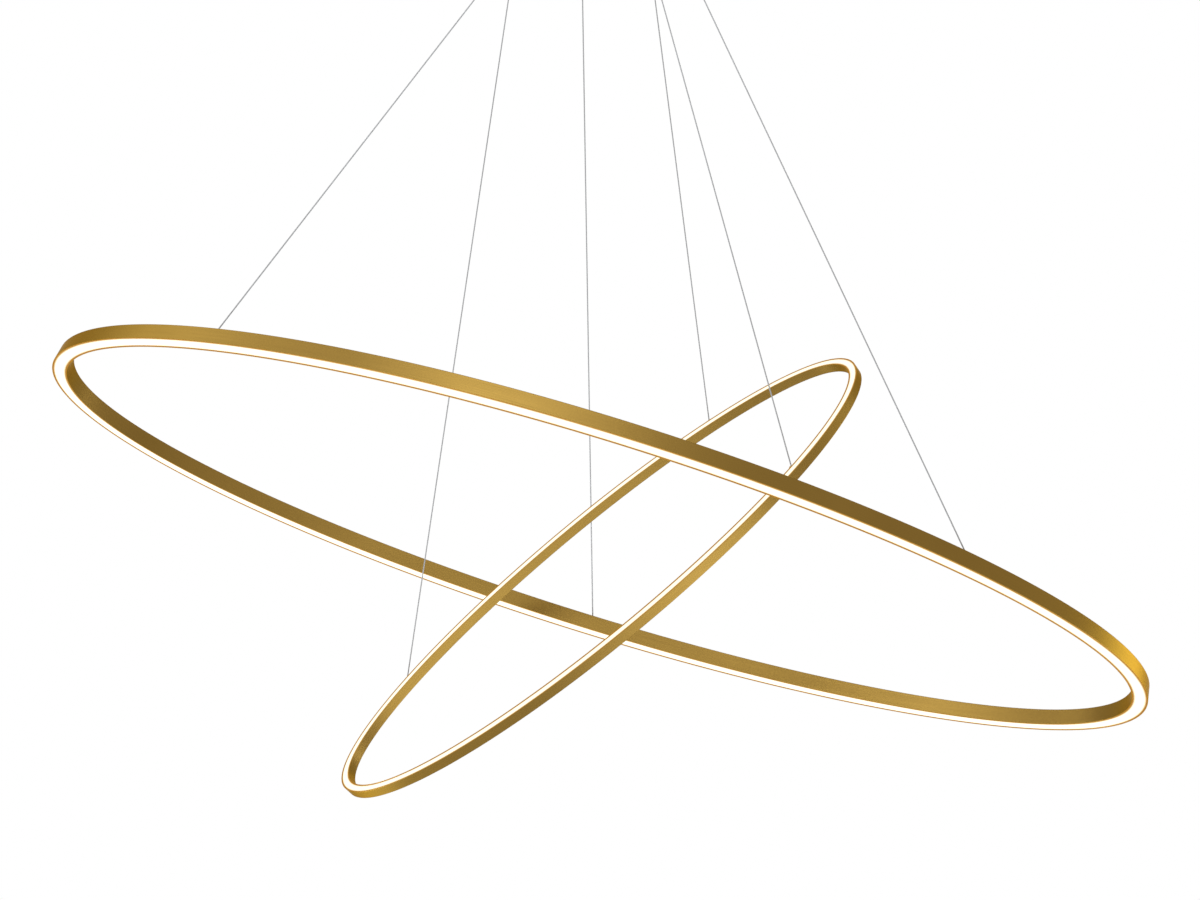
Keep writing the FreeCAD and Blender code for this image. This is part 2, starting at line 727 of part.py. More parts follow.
def make_splice_screws(ring):
    """Small screws through the back of the housing into the rail."""
    screws = []
    for half in ("front", "rear"):
        for point in splice_spots(ring, half):
            name = f"{ring}_splice_screw_{len(screws) + 1}"
            local = Placement(Vector(point.x, point.y, -millimetres(f"{ring}_profile_height")), Rotation())
            body = hexagon_screw(
                name, size("splice_screw_radius"), size(f"{ring}_back") + size("rail_thickness"),
                size("splice_head_radius"), size("splice_head_height"), ring_placement(ring) * local)
            screws.append(body)
    return group(f"{ring}_splice_screws", screws)


def make_seats():
    """Undercut seats for the wires' stops, let into the back of the large ring with mouths flush."""
    seats = []
    for wire in WIRES["large"]:
        name = f"large_{wire}_seat"
        depth = -size("seat_depth")
        radius = size("seat_radius")
        body = turned(name, [(ZERO, depth), (radius, depth), (radius, ZERO), (ZERO, ZERO)])
        lip = size("seat_lip")
        cut_hexagon(body, f"{name}_mouth", size("seat_mouth_radius"), -lip, lip)
        deep = size("seat_pocket_depth")
        cut_hexagon(body, f"{name}_pocket", size("seat_pocket_radius"), -deep, deep - lip)
        body.Placement = ring_placement("large") * seat_spot("large", wire)
        seats.append(body)
    return group("large_wire_seats", seats)


def make_posts():
    """Posts riveted through the small ring's side walls, cross drilled for the wires."""
    posts = []
    for wire in WIRES["small"]:
        name = f"small_{wire}_post"
        shank = -size("small_wall") - size("post_shank_reach")
        radius = size("post_radius")
        height = size("post_height")
        blank = turned(
            f"{name}_blank", [(ZERO, ZERO), (radius, ZERO), (radius, height), (ZERO, height)])
        add_hexagon(blank, f"{name}_shank", size("post_shank_radius") / CORNER, ZERO, shank)
        blank.Placement = ring_placement("small") * post_spot("small", wire)
        through = size("post_height") * 2
        line = along_wire("small", wire, "bottom")
        start = line.multiply(Placement(Vector(0, 0, -through.value / 2), Rotation()))
        bore = hexagon_prism(f"{name}_bore", size("post_bore_radius"), through, start)
        posts.append(cut(name, blank, [bore]))
    return group("small_wire_posts", posts)


# ---------------------------------------------------------------- suspension

def make_wire(ring, wire):
    """Straight taut wire from its lower fitting up into its gripper."""
    low = along_wire(ring, wire, "bottom")
    span = (upper_end(ring, wire) - lower_end(ring, wire)).Length
    start = size("stop_length") / 2 if ring == "large" else -size("crimp_start")
    past = -size("sliding_wire_start") if wire == SLIDING[ring] else size("wire_overlap")
    body = new_body(f"{ring}_wire_{wire}")
    section = new_sketch(body, f"{ring}_wire_{wire}_section", "XY_Plane", start)
    draw_circle(section, size("wire_radius"))
    pad(body, section, Size(span, repr(span)) + past - start)
    body.Placement = low
    print(f"{ring}_wire_{wire}: free length {span:.1f} mm")
    return body


def end_fitting(ring, wire):
    """Swaged stop on the wire's end for a seat, or a crimped sleeve under a post."""
    name = f"{ring}_{wire}_end"
    if ring == "large":
        half = size("stop_length") / 2
        radius = size("stop_radius")
        body = turned(name, [(ZERO, -half), (radius, -half), (radius, half), (ZERO, half)])
    else:
        body = new_body(name)
        add_hexagon(
            body, f"{name}_sleeve", size("crimp_radius"), -size("crimp_start"), -size("crimp_length"))
    body.Placement = along_wire(ring, wire, "bottom")
    return body


def make_gripper(ring, wire):
    """Slim wire gripper: ball, neck, body and the chamber of its release sleeve."""
    name = f"{ring}_gripper_{wire}"
    outer = size("gripper_radius")
    neck = size("gripper_neck_radius")
    end = -size("gripper_length")
    belt = size("ball_belt")
    ball = size("ball_radius")
    crown = size("ball_crown")
    body = turned(name, [
        (ZERO, crown), (size("ball_flat"), crown), (ball, belt), (ball, -belt), (neck, -crown),
        (neck, -size("gripper_neck_end")), (outer, -size("gripper_shoulder_end")), (outer, end),
        (ZERO, end)])
    cut_hexagon(body, f"{name}_bore", size("gripper_bore_radius"), end, size("gripper_length") * 2)
    cut_hexagon(body, f"{name}_mouth", size("chamber_mouth_radius"), end, -end / 4)
    low = -size("chamber_bottom")
    cut_hexagon(
        body, f"{name}_chamber", size("chamber_radius"), low, -low - size("chamber_top"))
    body.Placement = along_wire(ring, wire, "top")
    return body


def make_release(ring, wire):
    """Spring loaded sleeve: pushed up into the gripper, it frees the wire."""
    name = f"{ring}_release_{wire}"
    stem = size("release_stem_radius")
    tip = -size("release_tip")
    top = -size("release_flange_top")
    body = turned(name, [(ZERO, tip), (stem, tip), (stem, top), (ZERO, top)])
    add_hexagon(
        body, f"{name}_flange", size("release_flange_radius"), top,
        size("release_flange_top") - size("release_flange_bottom"))
    cut_hexagon(body, f"{name}_bore", size("gripper_bore_radius"), tip, size("release_tip"))
    body.Placement = along_wire(ring, wire, "top")
    return body


# ---------------------------------------------------------------- assembly

def build():
    """Make every piece and return the objects that become nodes."""
    nodes = [
        make_bracket(), make_canopy(), make_side_screws(), make_sockets("large"),
        make_sockets("small"), make_socket_nuts(), make_driver("large", -1), make_driver("small", 1),
        make_driver_screws(), make_terminal_block(), make_terminal_screws(), make_earth_screw(),
        make_seats(), make_posts()]
    for ring, wires in WIRES.items():
        for side in ("front", "rear"):
            nodes.append(make_housing(ring, side))
            nodes.append(make_lens(ring, side))
        for side in ("left", "right"):
            nodes.append(make_rail(ring, side))
            nodes.append(make_strip(ring, side))
        nodes.append(make_splice_screws(ring))
        loose = SLIDING[ring]
        pair = [end_fitting(ring, wire) for wire in wires if wire != loose]
        nodes.append(group(f"{ring}_pair_wire_ends", pair))
        nodes.append(group(f"{ring}_{loose}_wire_end", [end_fitting(ring, loose)]))
        for wire in wires:
            nodes.append(make_wire(ring, wire))
            nodes.append(make_gripper(ring, wire))
            nodes.append(make_release(ring, wire))
            print(f"{ring}_{wire} low {tuple(round(c, 3) for c in lower_end(ring, wire))}"
                  f" high {tuple(round(c, 3) for c in upper_end(ring, wire))}")
    return nodes


def check_and_write(nodes):
    """Stop on any failed feature or bad shape, then write one file for each node."""
    doc.recompute()
    for item in doc.Objects:
        if "Invalid" in item.State or "Error" in item.State:
            raise RuntimeError(f"{item.Name} did not build: {item.State}")
    for node in nodes:
        if node.Shape.isNull() or not node.Shape.isValid() or not node.Shape.Solids:
            raise RuntimeError(f"{node.Label} has no valid solid")
    os.makedirs("parts", exist_ok=True)
    for node in nodes:
        node.Shape.exportStep(f"parts/{node.Label}.step")
    print(f"{len(nodes)} nodes written")


check_and_write(build())
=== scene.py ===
"""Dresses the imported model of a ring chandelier: two lit elliptical rings hung on taut wires.

The frame's origin is the centre of the canopy in the ceiling plane, +Z is up, +X runs along the
large ring as it is seen from the front and +Y points to the back. Lengths are in metres.
"""

import logging
import math
from dataclasses import dataclass
from enum import Enum
from typing import Iterable, Sequence

import bmesh
import bpy
from mathutils import Matrix, Vector


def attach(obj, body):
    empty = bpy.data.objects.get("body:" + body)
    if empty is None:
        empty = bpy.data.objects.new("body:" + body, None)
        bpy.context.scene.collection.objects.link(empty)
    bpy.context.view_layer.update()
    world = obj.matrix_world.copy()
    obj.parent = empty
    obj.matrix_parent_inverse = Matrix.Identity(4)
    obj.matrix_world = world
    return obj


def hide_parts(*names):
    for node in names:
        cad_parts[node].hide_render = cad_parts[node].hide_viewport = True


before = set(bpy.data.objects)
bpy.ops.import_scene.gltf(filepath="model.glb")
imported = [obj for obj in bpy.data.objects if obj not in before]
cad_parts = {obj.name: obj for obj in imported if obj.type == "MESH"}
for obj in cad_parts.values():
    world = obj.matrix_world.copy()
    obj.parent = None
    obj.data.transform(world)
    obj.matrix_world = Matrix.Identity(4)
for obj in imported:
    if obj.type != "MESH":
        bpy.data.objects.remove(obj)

LOG = logging.getLogger("chandelier")
MM = 0.001
HALF_SEGMENTS = 220
TURN_STEPS = 40
SHARP_ANGLE = math.radians(32)
MERGE_DISTANCE = 1e-7
ON_AXIS = 1e-6
MAP_RADIUS = 0.01  # a turned piece's map is as wide as a turn round this radius
FACING_OUT = 0.9

Outline = Sequence[tuple[float, float]]


class Ring(Enum):
    """The two light rings."""

    LARGE = "large"
    SMALL = "small"


class Half(Enum):
    """The two halves of a ring's housing and diffuser."""

    FRONT = "front"
    REAR = "rear"


class Kind(Enum):
    """The record's material slots."""

    RING_METAL = "brass_coloured_aluminium"
    TURNED = "turned_brass"
    OPAL = "opal_diffuser"
    WIRE = "wire_rope"
    RELEASE = "release_steel"
    STEEL = "plain_steel"
    RAIL = "plain_aluminium"
    STRIP = "led_strip"
    DRIVER = "driver_case"
    TERMINAL = "terminal_plastic"
    BRACKET = "bracket_steel"


# ---------------------------------------------------------------- finishes

def new_group(name: str, inputs: dict[str, float], outputs: dict[str, str]) -> bpy.types.NodeTree:
    """Start a shader node group.

    Args:
        name: the group's name.
        inputs: value of each number input, by its name.
        outputs: socket type of each output, by its name.

    Returns:
        The node tree, which holds its input and output nodes.
    """
    tree = bpy.data.node_groups.new(name, "ShaderNodeTree")
    tree.interface.new_socket("Vector", in_out="INPUT", socket_type="NodeSocketVector")
    for label, value in inputs.items():
        socket = tree.interface.new_socket(label, in_out="INPUT", socket_type="NodeSocketFloat")
        socket.default_value = value
    for label, kind in outputs.items():
        tree.interface.new_socket(label, in_out="OUTPUT", socket_type=kind)
    tree.nodes.new("NodeGroupInput")
    tree.nodes.new("NodeGroupOutput")
    return tree


def grain_group() -> bpy.types.NodeTree:
    """Fine lines along the first axis of the pattern, as a brush leaves them, with cloudy patches.

    Returns:
        The group, with the outputs Lines and Clouds, both about 0 to 1.
    """
    tree = new_group(
        "Brushed grain", {"Along": 8.0, "Across": 2200.0, "Patch": 30.0},
        {"Lines": "NodeSocketFloat", "Clouds": "NodeSocketFloat"})
    nodes, links = tree.nodes, tree.links
    entry, leave = nodes["Group Input"], nodes["Group Output"]
    split = nodes.new("ShaderNodeSeparateXYZ")
    links.new(entry.outputs["Vector"], split.inputs[0])
    joined = nodes.new("ShaderNodeCombineXYZ")
    for axis, scale in (("X", "Along"), ("Y", "Across")):
        stretch = nodes.new("ShaderNodeMath")
        stretch.operation = "MULTIPLY"
        links.new(split.outputs[axis], stretch.inputs[0])
        links.new(entry.outputs[scale], stretch.inputs[1])
        links.new(stretch.outputs[0], joined.inputs[axis])
    lines = nodes.new("ShaderNodeTexNoise")
    lines.inputs["Scale"].default_value = 1.0
    lines.inputs["Detail"].default_value = 4.0
    lines.inputs["Roughness"].default_value = 0.65
    links.new(joined.outputs[0], lines.inputs["Vector"])
    links.new(lines.outputs["Fac"], leave.inputs["Lines"])
    clouds = nodes.new("ShaderNodeTexNoise")
    clouds.inputs["Detail"].default_value = 3.0
    links.new(entry.outputs["Patch"], clouds.inputs["Scale"])
    links.new(entry.outputs["Vector"], clouds.inputs["Vector"])
    links.new(clouds.outputs["Fac"], leave.inputs["Clouds"])
    return tree


def speckle_group() -> bpy.types.NodeTree:
    """Fine moulded or painted texture over wide, faint patches.

    Returns:
        The group, with the outputs Height and Patches, both about 0 to 1.
    """
    tree = new_group(
        "Fine speckle", {"Fine": 1600.0, "Patch": 40.0},
        {"Height": "NodeSocketFloat", "Patches": "NodeSocketFloat"})
    nodes, links = tree.nodes, tree.links
    entry, leave = nodes["Group Input"], nodes["Group Output"]
    for scale, label in (("Fine", "Height"), ("Patch", "Patches")):
        noise = nodes.new("ShaderNodeTexNoise")
        noise.inputs["Detail"].default_value = 2.0
        links.new(entry.outputs["Vector"], noise.inputs["Vector"])
        links.new(entry.outputs[scale], noise.inputs["Scale"])
        links.new(noise.outputs["Fac"], leave.inputs[label])
    return tree


Colour = tuple[float, float, float]
Stops = Sequence[tuple[float, Colour]]

BLACK, WHITE = (0.0, 0.0, 0.0), (1.0, 1.0, 1.0)
MASK_LOW, MASK_HIGH = 0.3, 0.7  # the part of 0 to 1 that a noise mask really fills


def mirrored(stops: Stops) -> Stops:
    """Repeat a ramp's stops from its far end, so that both sides are the same."""
    return (*stops, *((1 - place, colour) for place, colour in reversed(stops)))


class Recipe:
    """A material in the making: its nodes, its links and its Principled shader."""

    def __init__(self, name: str) -> None:
        """Start a material.

        Args:
            name: the material's name.
        """
        self.material = bpy.data.materials.new(name)
        self.material.use_nodes = True
        self.nodes, self.links = self.material.node_tree.nodes, self.material.node_tree.links
        self.shader = self.nodes["Principled BSDF"]

    def coordinates(self, kind: str) -> bpy.types.NodeSocket:
        """The surface's own coordinates, such as UV or Object."""
        return self.nodes.new("ShaderNodeTexCoord").outputs[kind]

    def pattern(self, tree: bpy.types.NodeTree, where: bpy.types.NodeSocket,
                **values: float) -> bpy.types.ShaderNodeGroup:
        """Lay a node group's pattern on the surface.

        Args:
            tree: the node group.
            where: the coordinates that it reads.
            values: value of each of its number inputs, by its name.

        Returns:
            The group's node.
        """
        node = self.nodes.new("ShaderNodeGroup")
        node.node_tree = tree
        self.links.new(where, node.inputs["Vector"])
        for label, value in values.items():
            node.inputs[label].default_value = value
        return node

    def tint(self, label: str, mask: bpy.types.NodeSocket, stops: Stops) -> None:
        """Colour one of the shader's inputs by a mask.

        Args:
            label: the input's name.
            mask: the output that holds the mask.
            stops: places on the colour ramp and their colours.
        """
        ramp = self.nodes.new("ShaderNodeValToRGB")
        elements = ramp.color_ramp.elements
        while len(elements) < len(stops):
            elements.new(0.5)
        for element, (place, colour) in zip(elements, stops):
            element.position = place
            element.color = (*colour, 1.0)
        self.links.new(mask, ramp.inputs["Fac"])
        self.links.new(ramp.outputs["Color"], self.shader.inputs[label])

    def roughen(self, mask: bpy.types.NodeSocket, rough: float, swing: float) -> None:
        """Let a noise mask vary the roughness, which falls as the mask rises.

        Args:
            mask: the output that holds the mask.
            rough: the roughness in the middle of the mask.
            swing: how far it goes to either side.
        """
        node = self.nodes.new("ShaderNodeMapRange")
        for label, value in (("From Min", MASK_LOW), ("From Max", MASK_HIGH),
                             ("To Min", rough + swing), ("To Max", rough - swing)):
            node.inputs[label].default_value = value
        self.links.new(mask, node.inputs["Value"])
        self.links.new(node.outputs["Result"], self.shader.inputs["Roughness"])

    def emboss(self, height: bpy.types.NodeSocket, depth: float) -> None:
        """Feed a height mask to the shader's normal through a Bump node.

        Args:
            height: the output that holds the height, 0 to 1.
            depth: what a height of 1 stands for, in metres.
        """
        bump = self.nodes.new("ShaderNodeBump")
        bump.inputs["Distance"].default_value = depth
        bump.inputs["Strength"].default_value = 1.0
        self.links.new(height, bump.inputs["Height"])
        self.links.new(bump.outputs["Normal"], self.shader.inputs["Normal"])

    def fix(self, values: dict[str, float | Colour]) -> None:
        """Set inputs of the shader to constants.

        Args:
            values: value of each input, by its name.
        """
        for label, value in values.items():
            whole = (*value, 1.0) if isinstance(value, tuple) else value
            self.shader.inputs[label].default_value = whole


@dataclass(frozen=True)
class BrushedMetal:
    """Metal with fine lines along the first axis of its pattern.

    A piece with its own UV map has the lines along its length or round its axis, and on_object
    reads Object coordinates instead, for nodes that have no map.
    """

    name: str
    light: Colour
    dark: Colour
    rough: float
    rough_swing: float = 0.08
    line_depth: float = 4e-6
    along: float = 8.0
    across: float = 2200.0
    patch: float = 30.0
    lacquer: float = 0.0
    on_object: bool = False
    dark_at: float = 0.10
    light_at: float = 0.42

    def make(self, grain: bpy.types.NodeTree) -> Recipe:
        """Build the material.

        Args:
            grain: the brushed grain group.

        Returns:
            The recipe with the finished material.
        """
        recipe = Recipe(self.name)
        where = recipe.coordinates("Object" if self.on_object else "UV")
        lines = recipe.pattern(grain, where, Along=self.along, Across=self.across, Patch=self.patch)
        mixed = recipe.nodes.new("ShaderNodeMath")
        mixed.operation = "MULTIPLY"
        for label, entry in zip(("Lines", "Clouds"), mixed.inputs):
            recipe.links.new(lines.outputs[label], entry)
        recipe.tint("Base Color", mixed.outputs[0],
                    ((self.dark_at, self.dark), (self.light_at, self.light)))
        recipe.roughen(lines.outputs["Lines"], self.rough, self.rough_swing)
        recipe.fix({"Metallic": 1.0, "Coat Weight": self.lacquer, "Coat Roughness": self.rough})
        recipe.emboss(lines.outputs["Lines"], self.line_depth)
        return recipe


@dataclass(frozen=True)
class RingMetal(BrushedMetal):
    """Brushed metal whose rims, marked by the mesh's Rim attribute, get a painted amber glow that
    stands in for the diffuser's light falling on them.
    """

    # colour of the painted glow on the rims, which stands in for the diffuser's light spilling onto
    # them
    painted_spill_glow: Colour = (0.24, 0.10, 0.004)
    grazing: Colour = (0.86, 0.60, 0.28)

    def make(self, grain: bpy.types.NodeTree) -> Recipe:
        """Build the material.

        Args:
            grain: the brushed grain group.

        Returns:
            The recipe with the finished material.
        """
        recipe = super().make(grain)
        # Painted light: the rims glow amber, standing in for the diffuser's light falling on them.
        rim = recipe.nodes.new("ShaderNodeAttribute")
        rim.attribute_name = "Rim"
        recipe.tint("Emission Color", rim.outputs["Fac"], ((0.0, BLACK), (1.0, self.painted_spill_glow)))
        recipe.fix({"Emission Strength": 1.0, "Specular Tint": self.grazing})
        return recipe


@dataclass(frozen=True)
class Moulded:
    """Plastic or paint with a fine speckle."""

    name: str
    light: Colour
    dark: Colour
    rough: float
    rough_swing: float = 0.06
    metallic: float = 0.0
    depth: float = 2e-5
    fine: float = 1600.0

    def make(self, speckle: bpy.types.NodeTree) -> Recipe:
        """Build the material.

        Args:
            speckle: the fine speckle group.

        Returns:
            The recipe with the finished material.
        """
        recipe = Recipe(self.name)
        texture = recipe.pattern(speckle, recipe.coordinates("Object"), Fine=self.fine)
        recipe.tint("Base Color", texture.outputs["Patches"],
                    ((MASK_LOW, self.dark), (MASK_HIGH, self.light)))
        recipe.roughen(texture.outputs["Height"], self.rough, self.rough_swing)
        recipe.fix({"Metallic": self.metallic})
        recipe.emboss(texture.outputs["Height"], self.depth)
        return recipe


@dataclass(frozen=True)
class OpalGlow:
    """Lit opal plastic, with painted amber bounce light and painted shade along the two walls that
    hold it.

    The map runs from 0 to 1 across the strip, and each place named here counts from both sides.
    """

    name: str = "Opal diffuser"
    # The glow is the lit opal's own in the middle; towards the walls it turns amber and then dark,
    # painted bounce light from the brass walls and painted shade.
    middle: Colour = (1.0, 0.955, 0.76)
    painted_wall_bounce: Colour = (0.95, 0.66, 0.30)
    edge: Colour = (0.38, 0.15, 0.01)
    # The surface colour darkens and browns towards the walls: painted shade.
    surface: Colour = (0.38, 0.36, 0.28)
    painted_edge_shade: Colour = (0.15, 0.08, 0.015)
    edge_at: float = 0.05
    warm_at: float = 0.13
    surface_at: float = 0.16
    middle_at: float = 0.24
    glow: float = 0.74
    rough: float = 0.44
    rough_swing: float = 0.06
    depth: float = 5e-6

    def make(self, speckle: bpy.types.NodeTree) -> Recipe:
        """Build the material.

        Args:
            speckle: the fine speckle group.

        Returns:
            The recipe with the finished material.
        """
        recipe = Recipe(self.name)
        split = recipe.nodes.new("ShaderNodeSeparateXYZ")
        recipe.links.new(recipe.coordinates("UV"), split.inputs[0])
        # Painted bounce light and painted shade: the glow turns amber and then dark towards the
        # walls.
        recipe.tint("Emission Color", split.outputs["Y"], mirrored((
            (self.edge_at, self.edge), (self.warm_at, self.painted_wall_bounce), (self.middle_at, self.middle))))
        # Painted shade: the surface colour darkens towards the walls.
        recipe.tint("Base Color", split.outputs["Y"], mirrored((
            (self.edge_at, self.painted_edge_shade), (self.surface_at, self.surface))))
        recipe.fix({"Emission Strength": self.glow})
        texture = recipe.pattern(speckle, recipe.coordinates("Object"))
        recipe.roughen(texture.outputs["Height"], self.rough, self.rough_swing)
        recipe.emboss(texture.outputs["Height"], self.depth)
        return recipe


@dataclass(frozen=True)
class StrandedWire:
    """Bare steel rope, whose strands show as slanting bands."""

    name: str = "Stranded wire"
    light: Colour = (0.34, 0.325, 0.315)
    dark: Colour = (0.28, 0.27, 0.26)
    light_at: float = 0.7
    band_scale: float = 250.0
    depth: float = 1.5e-5
    metallic: float = 0.35
    rough: float = 0.45

    def make(self) -> Recipe:
        """Build the material.

        Returns:
            The recipe with the finished material.
        """
        recipe = Recipe(self.name)
        bands = recipe.nodes.new("ShaderNodeTexWave")
        bands.bands_direction = "DIAGONAL"
        bands.inputs["Scale"].default_value = self.band_scale
        recipe.links.new(recipe.coordinates("Object"), bands.inputs["Vector"])
        recipe.tint("Base Color", bands.outputs["Fac"],
                    ((0.0, self.dark), (self.light_at, self.light)))
        recipe.fix({"Metallic": self.metallic, "Roughness": self.rough})
        recipe.emboss(bands.outputs["Fac"], self.depth)
        return recipe


@dataclass(frozen=True)
class LightStrip:
    """White flexible strip with yellow phosphor chips at an even pitch."""

    name: str = "Light strip"
    board: Colour = (0.86, 0.86, 0.82)
    chip: Colour = (0.90, 0.72, 0.22)
    pitch: float = 0.0083
    chip_to: float = 0.20
    board_from: float = 0.24
    rough: float = 0.5

    def make(self) -> Recipe:
        """Build the material, which reads Object coordinates.

        Returns:
            The recipe with the finished material.
        """
        recipe = Recipe(self.name)
        cells = recipe.nodes.new("ShaderNodeTexVoronoi")
        cells.distance = "CHEBYCHEV"
        cells.inputs["Scale"].default_value = 1.0 / self.pitch
        cells.inputs["Randomness"].default_value = 0.0
        recipe.links.new(recipe.coordinates("Object"), cells.inputs["Vector"])
        recipe.tint("Base Color", cells.outputs["Distance"],
                    ((self.chip_to, self.chip), (self.board_from, self.board)))
        recipe.fix({"Roughness": self.rough})
        return recipe


def make_finishes() -> dict[Kind, bpy.types.Material]:
    """Build every material of the object once.

    Returns:
        The material of each slot.
    """
    grain = grain_group()
    speckle = speckle_group()
    turned_marks = {"along": 60.0, "across": 5200.0, "patch": 200.0}
    metals = {
        Kind.RING_METAL: RingMetal(
            "Brushed brass coloured aluminium", (0.207, 0.118, 0.0225), (0.170, 0.096, 0.0172),
            0.37, rough_swing=0.04, line_depth=1e-6, patch=7.0, lacquer=0.08),
        Kind.TURNED: BrushedMetal(
            "Turned satin brass", (0.50, 0.35, 0.14), (0.36, 0.23, 0.08), 0.30, **turned_marks),
        Kind.RELEASE: BrushedMetal(
            "Satin nickel", (0.62, 0.60, 0.56), (0.45, 0.43, 0.40), 0.28, **turned_marks),
        Kind.STEEL: BrushedMetal(
            "Plain steel", (0.60, 0.60, 0.60), (0.42, 0.42, 0.42), 0.34,
            along=900.0, across=900.0, patch=300.0, on_object=True),
        Kind.RAIL: BrushedMetal(
            "Mill finish aluminium", (0.80, 0.81, 0.82), (0.62, 0.63, 0.64), 0.42,
            along=300.0, across=300.0, patch=80.0, on_object=True)}
    plastics = {
        Kind.DRIVER: Moulded("Driver case", (0.80, 0.80, 0.79), (0.72, 0.72, 0.71), 0.55),
        Kind.TERMINAL: Moulded("Terminal block", (0.78, 0.80, 0.77), (0.68, 0.70, 0.67), 0.40),
        Kind.BRACKET: Moulded(
            "Zinc coated bracket", (0.66, 0.66, 0.63), (0.50, 0.50, 0.48), 0.45,
            metallic=0.8, depth=8e-6, fine=500.0)}
    made = {kind: finish.make(grain) for kind, finish in metals.items()}
    made.update({kind: finish.make(speckle) for kind, finish in plastics.items()})
    made[Kind.OPAL] = OpalGlow().make(speckle)
    made[Kind.WIRE] = StrandedWire().make()
    made[Kind.STRIP] = LightStrip().make()
    return {kind: recipe.material for kind, recipe in made.items()}


# ---------------------------------------------------------------- mesh work

def arc(radius: float, first: float, last: float, steps: int,
        centre: tuple[float, float] = (0.0, 0.0)) -> list[tuple[float, float]]:
    """Draw an arc for an outline.

    Args:
        radius: its radius.
        first: angle of its first point from the first axis, in degrees.
        last: angle of its last point.
        steps: number of steps between them.
        centre: its centre.

    Returns:
        The points in order.
    """
    turns = [math.radians(first + (last - first) * step / steps) for step in range(steps + 1)]
    return [(centre[0] + radius * math.cos(turn), centre[1] + radius * math.sin(turn))
            for turn in turns]


def baked(name: str, bm: bmesh.types.BMesh) -> bpy.types.Mesh:
    """Make a mesh of a bmesh, which is freed.

    Args:
        name: the mesh's name.
        bm: what it holds.

    Returns:
        The mesh.
    """
    mesh = bpy.data.meshes.new(name)
    bm.to_mesh(mesh)
    bm.free()
    return mesh


def shown(name: str, data: bpy.types.ID) -> bpy.types.Object:
    """Make an object and link it to the scene.

    Args:
        name: the object's name.
        data: its mesh, curve, camera or light.

    Returns:
        The object.
    """
    item = bpy.data.objects.new(name, data)
    bpy.context.scene.collection.objects.link(item)
    return item


def sweep_half(half_length: float, half_width: float, section: Outline, side: float,
               gap: float) -> bmesh.types.BMesh:
    """Sweep a section of (inset, level) corners along half of an ellipse.

    The section is spun round Z and each of its points is then drawn in to its own ellipse, which
    keeps the bar equally wide all round.

    Args:
        half_length: half of the ring's length.
        half_width: half of the ring's width.
        section: the section's corners in order.
        side: 1 for the half on +Y, -1 for the half on -Y.
        gap: distance of the half's ends from the long axis.

    Returns:
        The closed mesh, in the ring's own frame.
    """
    bm = bmesh.new()
    insets = bm.verts.layers.float.new("inset")
    verts = []
    for inset, level in section:
        vert = bm.verts.new((half_length - inset, 0.0, level))
        vert[insets] = inset
        verts.append(vert)
    edges = [bm.edges.new(pair) for pair in zip(verts, verts[1:] + verts[:1])]
    start = gap / half_width
    bmesh.ops.rotate(
        bm, cent=(0.0, 0.0, 0.0), matrix=Matrix.Rotation(side * start, 3, "Z"), verts=verts)
    bmesh.ops.spin(
        bm, geom=verts + edges, cent=(0.0, 0.0, 0.0), axis=(0.0, 0.0, side), dvec=(0.0, 0.0, 0.0),
        angle=math.pi - 2 * start, steps=HALF_SEGMENTS, use_merge=False, use_duplicate=False)
    for vert in bm.verts:
        vert.co.y *= (half_width - vert[insets]) / (half_length - vert[insets])
    bmesh.ops.holes_fill(bm, edges=[edge for edge in bm.edges if edge.is_boundary], sides=0)
    bmesh.ops.recalc_face_normals(bm, faces=bm.faces)
    return bm


def map_along_ring(bm: bmesh.types.BMesh, half_length: float, half_width: float,
                   strip: tuple[float, float] | None = None) -> None:
    """Lay the map along the ring: distance along it, and place across its section.

    Args:
        bm: the ring's mesh, in the ring's own frame.
        half_length: half of the ring's length.
        half_width: half of the ring's width.
        strip: when given, the place across runs from 0 to 1 between these two insets.
    """
    uv = bm.loops.layers.uv.new("Along")
    insets = bm.verts.layers.float["inset"]
    for face in bm.faces:
        for loop in face.loops:
            place, inset = loop.vert.co, loop.vert[insets]
            angle = math.atan2(place.y / (half_width - inset), place.x / (half_length - inset))
            across = (inset - strip[0]) / (strip[1] - strip[0]) if strip else place.z - inset
            loop[uv].uv = (angle * half_length, across)


def mark_rims(bm: bmesh.types.BMesh, width: float, edge: float) -> None:
    """Mark the ring's two rims beside the diffuser with the Rim attribute, the mask of the painted
    glow on them.

    Args:
        bm: the housing's mesh, in the ring's own frame.
        width: width of the ring's section.
        edge: width of the rims' softened edges.
    """
    rims = bm.verts.layers.float.new("Rim")
    insets = bm.verts.layers.float["inset"]
    for vert in bm.verts:
        inside = edge / 2 < vert[insets] < width - edge / 2
        vert[rims] = float(inside and vert.co.z > -1.5 * edge)


